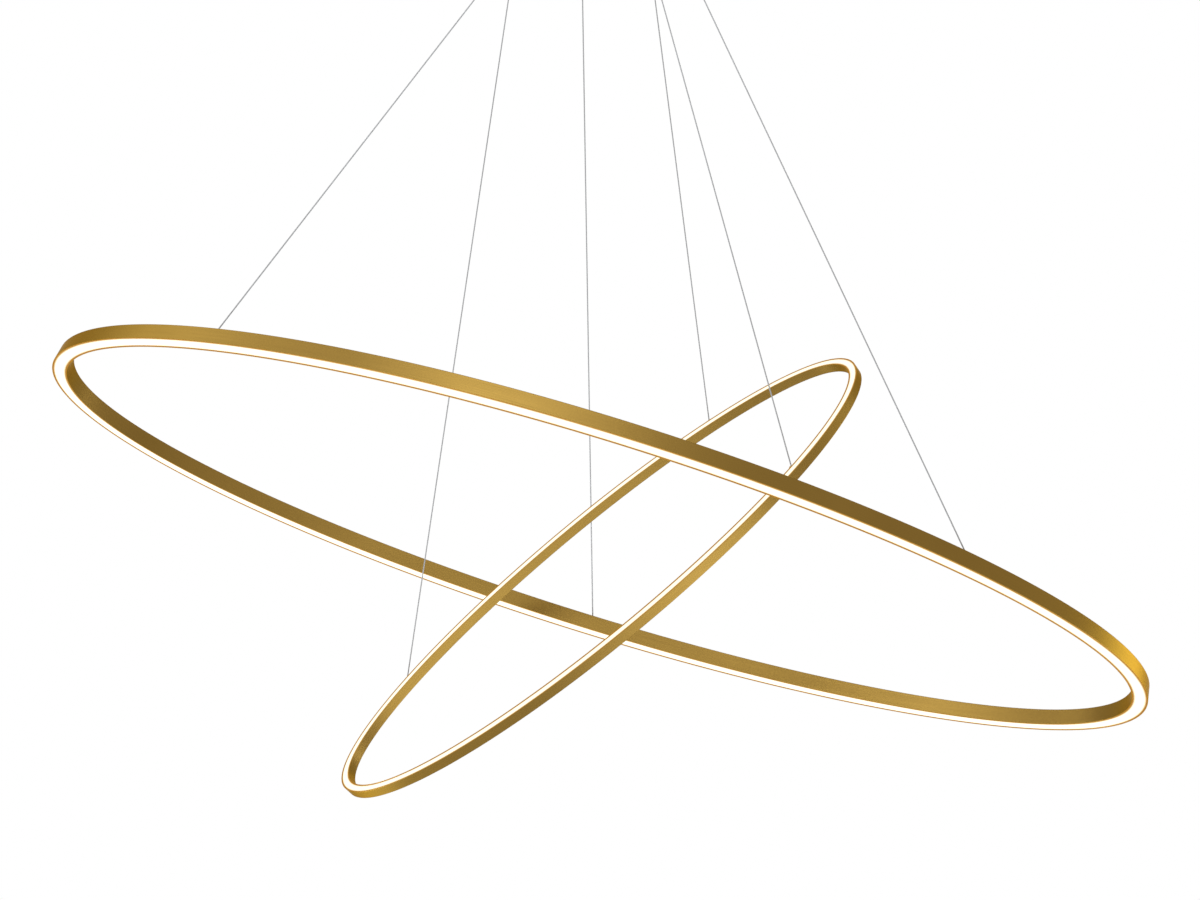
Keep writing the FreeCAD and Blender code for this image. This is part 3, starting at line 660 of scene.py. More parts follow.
def turned(outline: Outline, place: Matrix, closed: bool = False, edge: float = 0.0,
           steps: int = TURN_STEPS) -> bpy.types.Mesh:
    """Spin an outline about Z into a turned piece.

    Args:
        outline: corners as (radius, height) in millimetres, in order.
        place: where the piece goes.
        closed: True when the last corner joins the first, as on a bored piece.
        edge: width in millimetres of the soft bevel on its sharp edges, or 0 for none.
        steps: number of steps round.

    Returns:
        The mesh in its place, with its map round and along the axis.
    """
    bm = bmesh.new()
    verts = [bm.verts.new((radius * MM, 0.0, height * MM)) for radius, height in outline]
    pairs = zip(verts, verts[1:] + (verts[:1] if closed else []))
    edges = [bm.edges.new(pair) for pair in pairs]
    bmesh.ops.spin(
        bm, geom=verts + edges, cent=(0.0, 0.0, 0.0), axis=(0.0, 0.0, 1.0), dvec=(0.0, 0.0, 0.0),
        angle=2 * math.pi, steps=steps, use_merge=True, use_duplicate=False)
    bmesh.ops.remove_doubles(bm, verts=bm.verts, dist=MERGE_DISTANCE)
    bmesh.ops.recalc_face_normals(bm, faces=bm.faces)
    if edge:
        sharp = [item for item in bm.edges
                 if item.is_manifold and item.calc_face_angle() > SHARP_ANGLE]
        bmesh.ops.bevel(
            bm, geom=sharp, offset=edge * MM, offset_type="OFFSET", affect="EDGES", segments=2,
            profile=0.5, material=-1, clamp_overlap=True)
    map_round_axis(bm)
    bmesh.ops.transform(bm, matrix=place, verts=bm.verts)
    return baked("turned", bm)


def map_round_axis(bm: bmesh.types.BMesh) -> None:
    """Lay a map whose first axis runs round Z and whose second runs along the turned outline.

    Args:
        bm: the turned mesh, before it is moved to its place.
    """
    uv = bm.loops.layers.uv.new("Along")
    for face in bm.faces:
        middle = face.calc_center_median()
        heading = math.atan2(middle.y, middle.x)
        for loop in face.loops:
            place = loop.vert.co
            radius = math.hypot(place.x, place.y)
            turn = math.atan2(place.y, place.x) if radius > ON_AXIS else heading
            turn += 2 * math.pi * round((heading - turn) / (2 * math.pi))
            loop[uv].uv = (turn * MAP_RADIUS, place.z + radius)


def gather(meshes: Iterable[bpy.types.Mesh]) -> bmesh.types.BMesh:
    """Join the meshes of one piece.

    Args:
        meshes: the meshes, which are removed.

    Returns:
        What they held, as one bmesh.
    """
    bm = bmesh.new()
    for mesh in meshes:
        bm.from_mesh(mesh)
        bpy.data.meshes.remove(mesh)
    return bm


def drilled(bm: bmesh.types.BMesh, places: Iterable[Matrix], radius: float,
            depth: float) -> bmesh.types.BMesh:
    """Cut round holes through a piece.

    Args:
        bm: the piece's mesh, which is freed here.
        places: frame at the middle of each hole, with its Z along the hole.
        radius: radius of the holes, in millimetres.
        depth: their depth, in millimetres.

    Returns:
        The mesh with its holes.
    """
    drill = bmesh.new()
    for place in places:
        bmesh.ops.create_cone(
            drill, cap_ends=True, cap_tris=False, segments=TURN_STEPS, radius1=radius * MM,
            radius2=radius * MM, depth=depth * MM, matrix=place)
    work, cutter = shown("blank", baked("blank", bm)), shown("drill", baked("drill", drill))
    cut = work.modifiers.new("Holes", "BOOLEAN")
    cut.operation = "DIFFERENCE"
    cut.solver = "EXACT"
    cut.object = cutter
    result = bmesh.new()
    result.from_object(work, bpy.context.evaluated_depsgraph_get())
    for item in (work, cutter):
        bpy.data.objects.remove(item)
    return result


def line_frame(start: Vector, end: Vector) -> Matrix:
    """The frame at start whose +Z points to end."""
    return Matrix.Translation(start) @ (end - start).to_track_quat("Z", "Y").to_matrix().to_4x4()


@dataclass
class Workshop:
    """Turns finished meshes into pieces of the object."""

    finishes: dict[Kind, bpy.types.Material]

    def piece(self, name: str, bm: bmesh.types.BMesh, kind: Kind, body: str, node: str) -> None:
        """Make an object from a mesh, dress it and put it on its body.

        Args:
            name: the piece's name.
            bm: its mesh, which is freed here.
            kind: its finish.
            body: the body that it rides on.
            node: the CAD node that it stands for.
        """
        mesh = baked(name, bm)
        mesh.shade_smooth()
        mesh.set_sharp_from_angle(angle=SHARP_ANGLE)
        self.enter(name, mesh, kind, body, node)

    def turn(self, name: str, outline: Outline, places: Iterable[Matrix], kind: Kind, body: str,
             node: str, closed: bool = False, edge: float = 0.0) -> None:
        """Make a piece by turning one outline, in millimetres, at each of some places."""
        bm = gather([turned(outline, place, closed, edge) for place in places])
        self.piece(name, bm, kind, body, node)

    def enter(self, name: str, data: bpy.types.ID, kind: Kind, body: str,
              node: str) -> bpy.types.Object:
        """Put an object on its body, give it its finish, log its slot and hide the node that it
        stands for.

        Args:
            name: the object's name.
            data: its mesh or curve.
            kind: its finish.
            body: the body that it rides on.
            node: the CAD node that it stands for.

        Returns:
            The object.
        """
        data.materials.append(self.finishes[kind])
        item = shown(name, data)
        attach(item, body)
        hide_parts(node)
        LOG.info("%s: %s, on %s", name, kind.value, body)
        return item

    def dress(self, kept: dict[Kind, tuple[str, ...]]) -> None:
        """Give the CAD nodes that stay visible their finish.

        Args:
            kept: names of the nodes of each finish.
        """
        for kind, names in kept.items():
            for name in names:
                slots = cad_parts[name].data.materials
                slots.clear()
                slots.append(self.finishes[kind])
                LOG.info("%s: kept, %s", name, kind.value)


# ---------------------------------------------------------------- rings

@dataclass
class RingSizes:
    """Sizes and place of one ring, in millimetres and degrees.

    Its wires' names are the keys of tops, which holds where each one starts along X on the row of
    balls at row_y, and of angles, which holds where each one meets the ring.
    """

    ring: Ring
    half_length: float
    half_width: float
    width: float
    height: float
    wall: float
    back: float
    lens: float
    centre: tuple[float, float, float]
    heading: float
    slope: float
    roll: float
    row_y: float
    tops: dict[str, float]
    angles: dict[str, float]
    sliding: str
    front_side: float

    def placement(self) -> Matrix:
        """The ring's own frame: X along it, Y across it, +Z out of its lit face."""
        turn = (Matrix.Rotation(math.radians(self.heading), 4, "Z")
                @ Matrix.Rotation(math.radians(-self.slope), 4, "Y")
                @ Matrix.Rotation(math.radians(self.roll), 4, "X"))
        return Matrix.Translation(Vector(self.centre) * MM) @ turn

    def rim_point(self, angle: float, inset: float) -> tuple[Vector, Vector]:
        """Find a place on the ring's outline.

        Args:
            angle: the ellipse's own angle, in degrees.
            inset: distance inside the outline, in millimetres.

        Returns:
            The point and the outward direction there, in the ring's own frame.
        """
        long_axis, short_axis = self.half_length - inset, self.half_width - inset
        turn = math.radians(angle)
        point = Vector((long_axis * math.cos(turn), short_axis * math.sin(turn), 0.0)) * MM
        outward = Vector((short_axis * math.cos(turn), long_axis * math.sin(turn), 0.0))
        return point, outward.normalized()

    def top(self, wire: str) -> Vector:
        """Centre of the ball that carries the wire's gripper."""
        return Vector((self.tops[wire], self.row_y, -BALL_DROP)) * MM


BALL_DROP = 44.0  # the balls' centres under the ceiling
SEAT_INSET = 5.7  # the seats' centres inside the large ring's outline
SEAT_STOP_DEPTH = 1.55  # the stops' centres inside the large ring's back
POST_WIRE_HEIGHT = 5.5  # the wires' centrelines above the small ring's side walls

RINGS = (
    RingSizes(
        Ring.LARGE, half_length=675.0, half_width=242.6, width=18.5, height=20.0, wall=1.4,
        back=1.8, lens=2.0, centre=(5.7, -15.8, -876.7), heading=0.33, slope=-17.35, roll=155.63,
        row_y=-11.7, tops={"left": -27.1, "rear": -6.8, "right": 79.6},
        angles={"left": 133.55, "rear": 272.5, "right": 53.8}, sliding="rear", front_side=1.0),
    RingSizes(
        Ring.SMALL, half_length=396.1, half_width=137.1, width=11.5, height=12.5, wall=1.1,
        back=1.4, lens=1.6, centre=(13.6, 8.2, -910.1), heading=-6.82, slope=39.13, roll=37.68,
        row_y=14.6, tops={"left": -79.3, "rear": 70.6, "front": 59.0},
        angles={"left": 133.75, "rear": 55.65, "front": 311.35}, sliding="front",
        front_side=-1.0))


def seat_frame(sizes: RingSizes, wire: str) -> Matrix:
    """Frame of a seat in the back of the large ring, +Z out of the back.

    Args:
        sizes: the ring's sizes.
        wire: the wire's name.

    Returns:
        The frame, in the ring's own frame.
    """
    point, _ = sizes.rim_point(sizes.angles[wire], SEAT_INSET)
    point.z = -sizes.height * MM
    return Matrix.Translation(point) @ Matrix.Rotation(math.pi, 4, "X")


def post_frame(sizes: RingSizes, wire: str) -> Matrix:
    """Frame of a wire post on a side wall of the small ring, +Z out of the wall.

    Args:
        sizes: the ring's sizes.
        wire: the wire's name.

    Returns:
        The frame, in the ring's own frame.
    """
    inner = wire == "front"
    point, outward = sizes.rim_point(sizes.angles[wire], sizes.width if inner else 0.0)
    point.z = -sizes.height * MM / 2
    direction = -outward if inner else outward
    return line_frame(point, point + direction)


def lower_end(sizes: RingSizes, wire: str) -> Vector:
    """Where the wire's centreline meets its fitting on the ring.

    Args:
        sizes: the ring's sizes.
        wire: the wire's name.

    Returns:
        The point in the object's frame.
    """
    if sizes.ring is Ring.LARGE:
        local = seat_frame(sizes, wire) @ Vector((0.0, 0.0, -SEAT_STOP_DEPTH * MM))
    else:
        local = post_frame(sizes, wire) @ Vector((0.0, 0.0, POST_WIRE_HEIGHT * MM))
    return sizes.placement() @ local


@dataclass
class LightRing:
    """A ring's brushed housing and its opal diffuser, in two halves each.

    Sizes are in millimetres, and sections are corners as (inset, level). The rounded edges of the
    back go through back_flat, back_edge and back_bow.
    """

    sizes: RingSizes
    shop: Workshop
    seam_gap: float = 0.1
    edge: float = 0.15
    back_edge: float = 0.6
    back_bow: float = 0.18
    back_flat: float = 0.84
    side_gap: float = 0.1
    lens_recess: float = 0.3
    lens_lip: float = 0.3
    seat_radius: float = 4.1

    def build(self) -> None:
        """Build both halves of the housing and of the diffuser."""
        ring = self.sizes.ring.value
        for half in Half:
            self.shop.piece(
                f"{ring}_channel_{half.value}", self.housing(half), Kind.RING_METAL, f"{ring}_ring",
                f"{ring}_ring_housing_{half.value}")
            self.shop.piece(
                f"{ring}_opal_{half.value}", self.diffuser(half), Kind.OPAL, f"{ring}_ring",
                f"{ring}_diffuser_{half.value}")

    def side(self, half: Half) -> float:
        """Sign of the half's local Y."""
        return self.sizes.front_side if half is Half.FRONT else -self.sizes.front_side

    def swept(self, half: Half, section: Outline,
              strip: tuple[float, float] | None = None) -> bmesh.types.BMesh:
        """Sweep a section along one half of the ring and lay its map.

        Args:
            half: which half.
            section: the section's corners in order.
            strip: when given, the map runs from 0 to 1 between these two insets.

        Returns:
            The mesh in the ring's own frame.
        """
        axes = self.sizes.half_length * MM, self.sizes.half_width * MM
        corners = [(inset * MM, level * MM) for inset, level in section]
        bm = sweep_half(*axes, corners, self.side(half), self.seam_gap * MM)
        map_along_ring(bm, *axes, strip and (strip[0] * MM, strip[1] * MM))
        return bm

    def housing(self, half: Half) -> bmesh.types.BMesh:
        """Half of the U section with softened edges and seat holes.

        Args:
            half: which half.

        Returns:
            The mesh in the object's frame.
        """
        sizes, edge, back_edge = self.sizes, self.edge, self.back_edge
        width, wall, bottom = sizes.width, sizes.wall, -sizes.height
        floor, bow, flat = bottom + sizes.back, self.back_bow, self.back_flat
        section = [
            (0.0, bottom + flat), (0.0, -edge), (edge, 0.0), (wall - edge, 0.0), (wall, -edge),
            (wall, floor), (width - wall, floor), (width - wall, -edge), (width - wall + edge, 0.0),
            (width - edge, 0.0), (width, -edge), (width, bottom + flat),
            (width, bottom + back_edge), (width - bow, bottom + bow), (width - back_edge, bottom),
            (width - flat, bottom), (flat, bottom), (back_edge, bottom), (bow, bottom + bow),
            (0.0, bottom + back_edge)]
        bm = self.swept(half, section)
        mark_rims(bm, width * MM, edge * MM)
        if sizes.ring is Ring.LARGE:
            seats = [seat_frame(sizes, wire) for wire, angle in sizes.angles.items()
                     if math.sin(math.radians(angle)) * self.side(half) > 0]
            bm = drilled(bm, seats, self.seat_radius, 2 * self.seat_radius)
        bmesh.ops.transform(bm, matrix=sizes.placement(), verts=bm.verts)
        return bm

    def diffuser(self, half: Half) -> bmesh.types.BMesh:
        """Half of the opal strip, with softened corners between the walls.

        Args:
            half: which half.

        Returns:
            The mesh in the object's frame.
        """
        near = self.sizes.wall + self.side_gap
        far, lip, top = self.sizes.width - near, self.lens_lip, -self.lens_recess
        bottom = top - self.sizes.lens
        section = [
            (near, bottom), (near, top - lip), (near + lip, top), (far - lip, top),
            (far, top - lip), (far, bottom)]
        bm = self.swept(half, section, (near, far))
        bmesh.ops.transform(bm, matrix=self.sizes.placement(), verts=bm.verts)
        return bm


# ---------------------------------------------------------------- suspension

@dataclass
class Suspension:
    """Wires of one ring with their end fittings, grippers and release sleeves.

    Sizes are in millimetres, and outlines are corners as (radius, height).
    """

    sizes: RingSizes
    shop: Workshop
    wire_radius: float = 0.8
    wire_overlap: float = 2.8
    sliding_start: float = 10.0
    bore: float = 1.1
    ball_radius: float = 3.5
    ball_steps: int = 12
    neck_radius: float = 1.6
    neck_end: float = 5.5
    shoulder_end: float = 8.0
    gripper_radius: float = 4.0
    gripper_length: float = 27.0
    groove_top: float = 21.0
    groove_bottom: float = 22.1
    groove_depth: float = 0.25
    groove_slope: float = 0.3
    chamfer: float = 0.6
    mouth_radius: float = 2.1
    mouth_depth: float = 1.5
    sleeve: Outline = (
        (2.4, -20.0), (2.4, -21.5), (1.8, -21.5), (1.8, -30.2), (1.7, -30.6), (1.5, -31.0))
    stop_radius: float = 2.45
    stop_half: float = 1.0
    crimp_radius: float = 1.45
    crimp_waist: float = 1.247
    crimp_start: float = 4.2
    crimp_length: float = 3.0
    crimp_tail: float = 0.2
    end_edge: float = 0.15
    brass_edge: float = 0.12
    sleeve_edge: float = 0.1
    seat: Outline = (
        (0.0, -4.6), (3.2, -4.6), (3.2, -0.5), (2.75, -0.3), (2.85, 0.0), (3.95, 0.0), (4.1, -0.15),
        (4.1, -5.6), (0.0, -5.6))
    post: Outline = (
        (0.0, 0.0), (3.0, 0.0), (3.0, 0.8), (2.4, 0.8), (2.4, 7.2), (2.25, 7.55), (1.92, 7.75),
        (1.4, 7.9), (0.8, 7.98), (0.0, 8.0))

    def build(self) -> None:
        """Build the wires and everything on them."""
        for wire in self.sizes.tops:
            self.wire(wire)
            self.gripper(wire)
            self.release(wire)
        ring, loose = self.sizes.ring.value, self.sizes.sliding
        pair = [wire for wire in self.sizes.tops if wire != loose]
        self.ends("pair", pair, self.carrier(pair[0], "wire"), f"{ring}_pair_wire_ends")
        self.ends(loose, [loose], self.carrier(loose, "wire"), f"{ring}_{loose}_wire_end")
        self.fittings()

    def carrier(self, wire: str, part: str) -> str:
        """Name the body of a wire or its gripper; the sliding wire's are its own, named by part."""
        ring = self.sizes.ring.value
        return f"{ring}_{wire}_{part}" if wire == self.sizes.sliding else f"{ring}_suspension"

    def hanging(self, wire: str) -> Matrix:
        """Frame at the ball of a wire's gripper, with +Z on up the wire's line."""
        top = self.sizes.top(wire)
        return line_frame(top, 2 * top - lower_end(self.sizes, wire))

    def wire(self, wire: str) -> None:
        """Stretch one wire as a straight cord.

        Args:
            wire: the wire's name.
        """
        ring = self.sizes.ring
        low, high = lower_end(self.sizes, wire), self.sizes.top(wire)
        up = (high - low).normalized()
        tail = -self.stop_half if ring is Ring.LARGE else self.crimp_start + self.crimp_tail
        past = -self.sliding_start if wire == self.sizes.sliding else self.wire_overlap
        start = low - up * tail * MM
        end = high + up * past * MM
        line = bpy.data.curves.new(f"{ring.value}_rope_{wire}", "CURVE")
        line.dimensions = "3D"
        line.bevel_depth = self.wire_radius * MM
        line.bevel_resolution = 4
        line.use_fill_caps = True
        spline = line.splines.new("NURBS")
        spline.points.add(2)
        for point, place in zip(spline.points, (start, (start + end) / 2, end)):
            point.co = (*place, 1.0)
        spline.order_u = 3
        spline.use_endpoint_u = True
        item = self.shop.enter(line.name, line, Kind.WIRE, self.carrier(wire, "wire"),
                               f"{ring.value}_wire_{wire}")

    def end_outline(self) -> Outline:
        """Outline of a swaged stop for a seat, or of a crimped sleeve under a post.

        Returns:
            The corners as (radius, height), from the wire's lower end.
        """
        if self.sizes.ring is Ring.LARGE:
            radius, half = self.stop_radius, self.stop_half
            return [(0.0, -half), (radius, -half), (radius, half * 0.4), (radius * 0.8, half),
                    (0.0, half)]
        radius, waist, third = self.crimp_radius, self.crimp_waist, self.crimp_length / 3
        high = -self.crimp_start
        low = high - self.crimp_length
        return [(0.0, low), (radius, low), (radius, low + third), (waist, low + third * 1.2),
                (waist, high - third * 1.2), (radius, high - third), (radius, high), (0.0, high)]

    def ends(self, label: str, wires: Sequence[str], body: str, node: str) -> None:
        """Fit the lower ends of some wires as one piece.

        Args:
            label: what the piece is called after.
            wires: names of the wires.
            body: the body that they ride on.
            node: the CAD node that they stand for.
        """
        kind = "stop" if self.sizes.ring is Ring.LARGE else "crimp"
        places = [line_frame(lower_end(self.sizes, wire), self.sizes.top(wire)) for wire in wires]
        self.shop.turn(f"{self.sizes.ring.value}_{kind}_{label}", self.end_outline(), places,
                       Kind.STEEL, body, node, edge=self.end_edge)

    def gripper(self, wire: str) -> None:
        """Turn one wire gripper: ball, neck and grooved body.

        Args:
            wire: the wire's name.
        """
        ring = self.sizes.ring.value
        outer, end = self.gripper_radius, -self.gripper_length
        waist, slope = outer - self.groove_depth, self.groove_slope
        opening = math.degrees(math.acos(self.bore / self.ball_radius))
        neck = -math.degrees(math.acos(self.neck_radius / self.ball_radius))
        outline = [
            *arc(self.ball_radius, opening, neck, self.ball_steps),
            (self.neck_radius, -self.neck_end), (outer, -self.shoulder_end),
            (outer, -self.groove_top), (waist, -self.groove_top - slope),
            (waist, -self.groove_bottom + slope), (outer, -self.groove_bottom),
            (outer, end + self.chamfer), (outer - self.chamfer, end), (self.mouth_radius, end),
            (self.mouth_radius, end + self.mouth_depth), (self.bore, end + self.mouth_depth)]
        self.shop.turn(
            f"{ring}_grip_{wire}", outline, [self.hanging(wire)], Kind.TURNED,
            self.carrier(wire, "hanger"), f"{ring}_gripper_{wire}", True, self.brass_edge)

    def release(self, wire: str) -> None:
        """Turn one release sleeve with its flange, stem and rounded tip.

        Args:
            wire: the wire's name.
        """
        ring = self.sizes.ring.value
        outline = [(self.bore, self.sleeve[0][1]), *self.sleeve, (self.bore, self.sleeve[-1][1])]
        self.shop.turn(
            f"{ring}_sleeve_{wire}", outline, [self.hanging(wire)], Kind.RELEASE,
            f"{ring}_{wire}_release", f"{ring}_release_{wire}", True, self.sleeve_edge)

    def fittings(self) -> None:
        """Turn the undercut seats in the large ring's back, or the small ring's domed posts."""
        large = self.sizes.ring is Ring.LARGE
        fitting = seat_frame if large else post_frame
        places = [self.sizes.placement() @ fitting(self.sizes, wire) for wire in self.sizes.tops]
        if large:
            self.shop.turn("large_seats", self.seat, places, Kind.TURNED, "large_ring",
                           "large_wire_seats")
        else:
            self.shop.turn("small_posts", self.post, places, Kind.TURNED, "small_ring",
                           "small_wire_posts", edge=self.brass_edge)


# ---------------------------------------------------------------- canopy

@dataclass
class Canopy:
    """The ceiling cup with its ball sockets and thumb screws.

    Sizes are in millimetres, angles in degrees, and outlines are corners as (radius, height).
    Only knob_end holds the insets of a knob's end, as (thickness, depth).
    """

    shop: Workshop
    radius: float = 100.0
    height: float = 40.0
    wall: float = 1.5
    edge_round: float = 4.0
    round_steps: int = 9
    cup_steps: int = 144
    shadow_gap: float = 1.0
    top_edge: float = 0.3
    socket_hole: float = 3.45
    pocket_radius: float = 3.8
    pocket_from: float = -24.0
    pocket_to: float = 45.0
    pocket_steps: int = 10
    socket: Outline = (
        (2.8, 3.3), (2.8, 10.5), (3.4, 10.5), (3.4, 4.0), (5.2, 4.0), (5.2, -1.1), (4.8, -1.9),
        (3.8, -1.9))
    screw_drop: float = 9.0
    screw_count: int = 3
    shank: Outline = ((0.0, -8.0), (2.0, -8.0), (2.0, 0.2), (0.0, 0.2))
    shank_edge: float = 0.3
    knob_radius: float = 4.5
    knob_length: float = 6.0
    knob_end: tuple[tuple[float, float], ...] = ((0.5, 0.35), (0.6, -0.25))
    knurls: int = 24
    knurl_steps: int = 4
    knurl_depth: float = 0.35

    def build(self) -> None:
        """Build the cup, the sockets and the screws."""
        self.shop.piece("canopy_cup", self.cup(), Kind.RING_METAL, "root", "canopy_cover")
        pocket = arc(self.pocket_radius, self.pocket_from, self.pocket_to, self.pocket_steps)
        for sizes in RINGS:
            ring = sizes.ring.value
            places = [Matrix.Translation(sizes.top(wire)) for wire in sizes.tops]
            self.shop.turn(f"{ring}_sockets", [*pocket, *self.socket], places, Kind.TURNED, "root",
                           f"{ring}_ball_sockets", closed=True)
        self.shop.piece(
            "canopy_thumb_screws", self.screws(), Kind.TURNED, "root", "canopy_side_screws")

    def cup(self) -> bmesh.types.BMesh:
        """Spin the cup's wall, rounded edge and floor, and drill the floor for the sockets.

        Returns:
            The mesh in the object's frame.
        """
        outer, wall, bend = self.radius, self.wall, self.edge_round
        floor, top, chamfer = -self.height, -self.shadow_gap, self.top_edge
        centre = outer - bend, floor + bend
        outline = [
            (0.0, floor), (outer / 2, floor), *arc(bend, -90.0, 0.0, self.round_steps, centre),
            (outer, top - chamfer), (outer - chamfer, top), (outer - wall, top),
            *arc(bend - wall, 0.0, -90.0, self.round_steps, centre), (0.0, floor + wall)]
        mesh = turned(outline, Matrix.Identity(4), steps=self.cup_steps)
        tops = [sizes.top(wire) for sizes in RINGS for wire in sizes.tops]
        holes = [Matrix.Translation((top.x, top.y, (floor + wall / 2) * MM)) for top in tops]
        return drilled(gather([mesh]), holes, self.socket_hole, 2 * wall)

    def screws(self) -> bmesh.types.BMesh:
        """Make the thumb screws, each a knurled knob on a plain shank.

        Returns:
            The mesh in the object's frame.
        """
        meshes = []
        for index in range(self.screw_count):
            heading = math.radians(-90 + 360 / self.screw_count * index)
            outward = Vector((math.cos(heading), math.sin(heading), 0.0))
            centre = (outward * self.radius - Vector((0.0, 0.0, self.screw_drop))) * MM
            place = line_frame(centre, centre + outward)
            meshes.append(self.knob(place))
            meshes.append(turned(self.shank, place, edge=self.shank_edge))
        return gather(meshes)

    def knob(self, place: Matrix) -> bpy.types.Mesh:
        """Make one knurled knob, whose end has a rim round a shallow dish.

        Args:
            place: its frame, with +Z away from the canopy.

        Returns:
            The mesh in the object's frame.
        """
        bm = bmesh.new()
        verts = bmesh.ops.create_circle(bm, cap_ends=True, segments=self.knurls * self.knurl_steps,
                                        radius=self.knob_radius * MM)["verts"]
        for vert in verts[::self.knurl_steps]:
            vert.co *= 1 - self.knurl_depth / self.knob_radius
        extruded = bmesh.ops.extrude_face_region(bm, geom=list(bm.faces))["geom"]
        top = [item for item in extruded if isinstance(item, bmesh.types.BMVert)]
        bmesh.ops.translate(bm, vec=(0.0, 0.0, self.knob_length * MM), verts=top)
        bmesh.ops.recalc_face_normals(bm, faces=bm.faces)
        for thickness, depth in self.knob_end:
            end = [face for face in bm.faces
                   if face.normal.z > FACING_OUT and len(face.verts) > self.knurls]
            bmesh.ops.inset_region(bm, faces=end, thickness=thickness * MM, depth=depth * MM)
        map_round_axis(bm)
        bmesh.ops.transform(bm, matrix=place, verts=bm.verts)
        return baked("knob", bm)


KEPT_NODES = {  # everything inside the canopy and inside the rings
    Kind.BRACKET: ("ceiling_bracket",),
    Kind.DRIVER: ("large_ring_driver", "small_ring_driver"),
    Kind.TERMINAL: ("terminal_block",),
    Kind.STEEL: ("driver_screws", "terminal_screws", "earth_screw", "large_splice_screws",
                 "small_splice_screws"),
    Kind.TURNED: ("socket_nuts",),
    Kind.RAIL: ("large_led_rail_left", "large_led_rail_right", "small_led_rail_left",
                "small_led_rail_right"),
    Kind.STRIP: ("large_led_strip_left", "large_led_strip_right", "small_led_strip_left",
                 "small_led_strip_right")}


# ---------------------------------------------------------------- studio

LAMPS = (  # name, place, side in metres, power in watts
    ("Key light", (-0.05, -1.75, 1.3), 1.1, 19.5),
    ("Left light", (-2.1, -0.8, 1.5), 2.0, 26.0),
    ("Low right light", (1.2, -0.9, -2.1), 1.1, 10.0),
    ("Low left light", (-0.7, 0.4, -2.05), 0.7, 2.5),
    ("Right light", (1.85, 0.3, -0.93), 0.6, 6.0),
    ("Far right light", (1.68, -0.15, -2.31), 1.0, 16.0),
    ("Far left light", (-1.88, -0.33, -2.0), 1.0, 35.0),
    ("Rear light", (0.4, 2.6, 0.9), 2.2, 16.0))


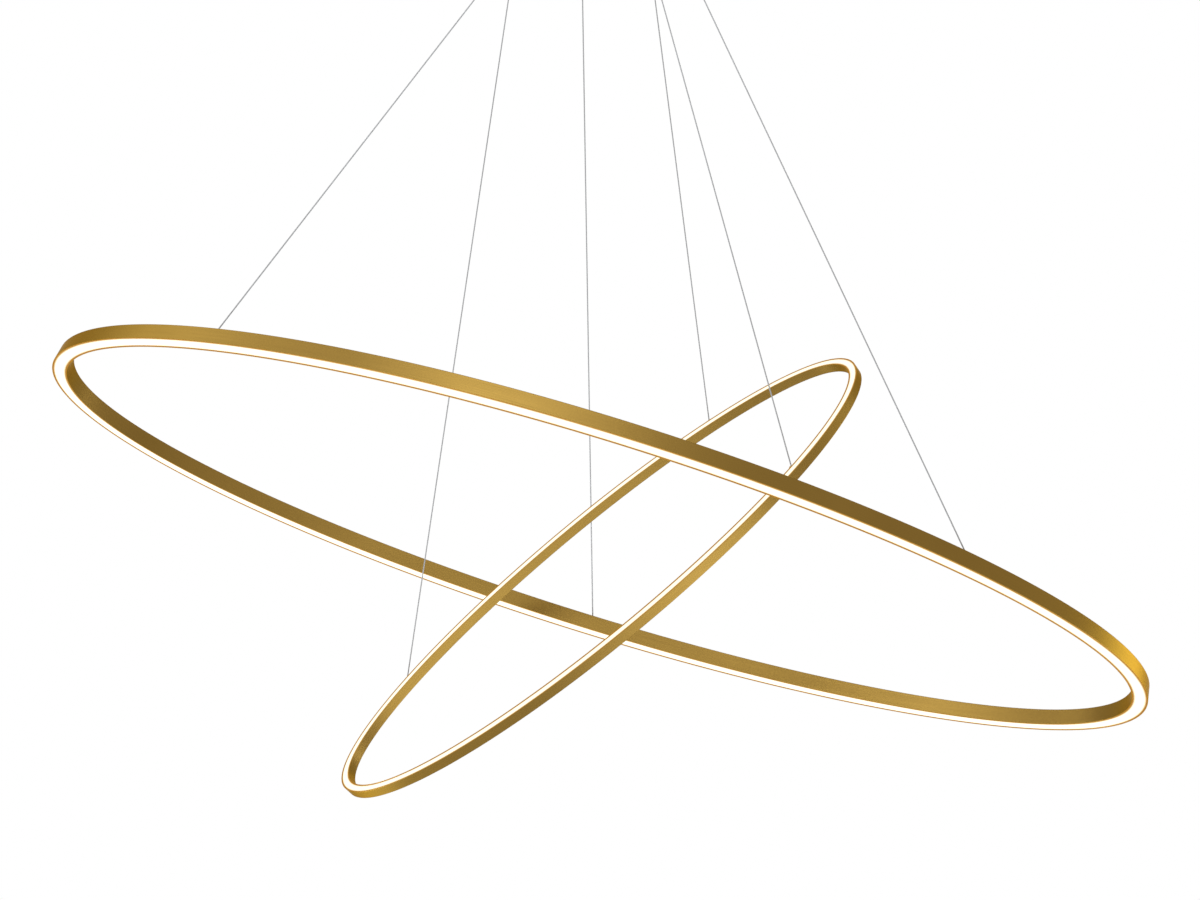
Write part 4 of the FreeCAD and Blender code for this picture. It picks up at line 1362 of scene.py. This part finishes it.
@dataclass
class Studio:
    """Camera at the photograph's viewing angle, white surroundings and soft lamps."""

    camera_place: tuple[float, float, float] = (0.0176, -1.8487, -1.0237)
    camera_tilt: float = 98.0
    lens: float = 46.5
    sensor: float = 36.0
    floor_level: float = -2.45
    floor_half: float = 5.0
    floor_colour: Colour = (0.86, 0.86, 0.86)
    floor_rough: float = 0.9
    floor_glow: float = 0.35
    ambient: Colour = (0.55, 0.55, 0.56)
    lamp_colour: Colour = (0.88, 1.0, 1.12)
    lamp_aim: tuple[float, float, float] = (0.0, 0.0, -0.9)

    def build(self) -> None:
        """Set up the camera, the floor, the world and the lamps."""
        self.camera()
        self.floor()
        self.world()
        for lamp in LAMPS:
            self.lamp(*lamp)
        bpy.context.scene.view_settings.view_transform = "Standard"

    def camera(self) -> None:
        """Place the camera."""
        data = bpy.data.cameras.new("Camera")
        data.lens = self.lens
        data.sensor_width = self.sensor
        item = shown("Camera", data)
        item.location = self.camera_place
        item.rotation_euler = (math.radians(self.camera_tilt), 0.0, 0.0)
        bpy.context.scene.camera = item

    def floor(self) -> None:
        """Lay the pale floor far below the object, clear where it is seen from underneath."""
        bm = bmesh.new()
        bmesh.ops.create_grid(bm, x_segments=1, y_segments=1, size=self.floor_half)
        bmesh.ops.translate(bm, vec=(0.0, 0.0, self.floor_level), verts=bm.verts)
        mesh = baked("floor", bm)
        recipe = Recipe("Pale floor")
        recipe.fix({"Base Color": self.floor_colour, "Roughness": self.floor_rough,
                    "Emission Color": WHITE, "Emission Strength": self.floor_glow})
        nodes, links = recipe.nodes, recipe.links
        below = nodes.new("ShaderNodeNewGeometry")
        clear = nodes.new("ShaderNodeBsdfTransparent")
        sides = nodes.new("ShaderNodeMixShader")
        links.new(below.outputs["Backfacing"], sides.inputs["Fac"])
        links.new(recipe.shader.outputs["BSDF"], sides.inputs[1])
        links.new(clear.outputs["BSDF"], sides.inputs[2])
        links.new(sides.outputs["Shader"], nodes["Material Output"].inputs["Surface"])
        mesh.materials.append(recipe.material)
        shown("floor", mesh)

    def world(self) -> None:
        """White where it is seen directly or in a reflection, softer where it lights the object."""
        world = bpy.data.worlds.new("Studio")
        bpy.context.scene.world = world
        world.use_nodes = True
        nodes, links = world.node_tree.nodes, world.node_tree.links
        rays = nodes.new("ShaderNodeLightPath")
        seen = rays.outputs["Is Camera Ray"]
        for label in ("Is Glossy Ray", "Is Transmission Ray"):
            either = nodes.new("ShaderNodeMath")
            either.operation = "MAXIMUM"
            links.new(seen, either.inputs[0])
            links.new(rays.outputs[label], either.inputs[1])
            seen = either.outputs[0]
        mix = nodes.new("ShaderNodeMix")
        mix.data_type = "RGBA"
        links.new(seen, mix.inputs["Factor"])
        mix.inputs["A"].default_value = (*self.ambient, 1.0)
        mix.inputs["B"].default_value = (*WHITE, 1.0)
        shade = nodes["Background"]
        links.new(mix.outputs["Result"], shade.inputs["Color"])
        shade.inputs["Strength"].default_value = 1.0

    def lamp(self, name: str, place: tuple[float, float, float], size: float, power: float) -> None:
        """Add a soft square lamp that faces the rings.

        Args:
            name: the lamp's name.
            place: where it stands.
            size: its side.
            power: its strength in watts.
        """
        data = bpy.data.lights.new(name, "AREA")
        data.size = size
        data.energy = power
        data.color = self.lamp_colour
        item = shown(name, data)
        item.location = place
        aim = Vector(self.lamp_aim) - Vector(place)
        item.rotation_euler = aim.to_track_quat("-Z", "Y").to_euler()


def main() -> None:
    """Build the dressed chandelier in its studio."""
    logging.basicConfig(level=logging.INFO, format="%(name)s: %(message)s")
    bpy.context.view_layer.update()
    shop = Workshop(make_finishes())
    Studio().build()
    for sizes in RINGS:
        Suspension(sizes, shop).build()
        LightRing(sizes, shop).build()
    Canopy(shop).build()
    shop.dress(KEPT_NODES)
    bpy.context.view_layer.update()


if __name__ == "__main__":
    main()
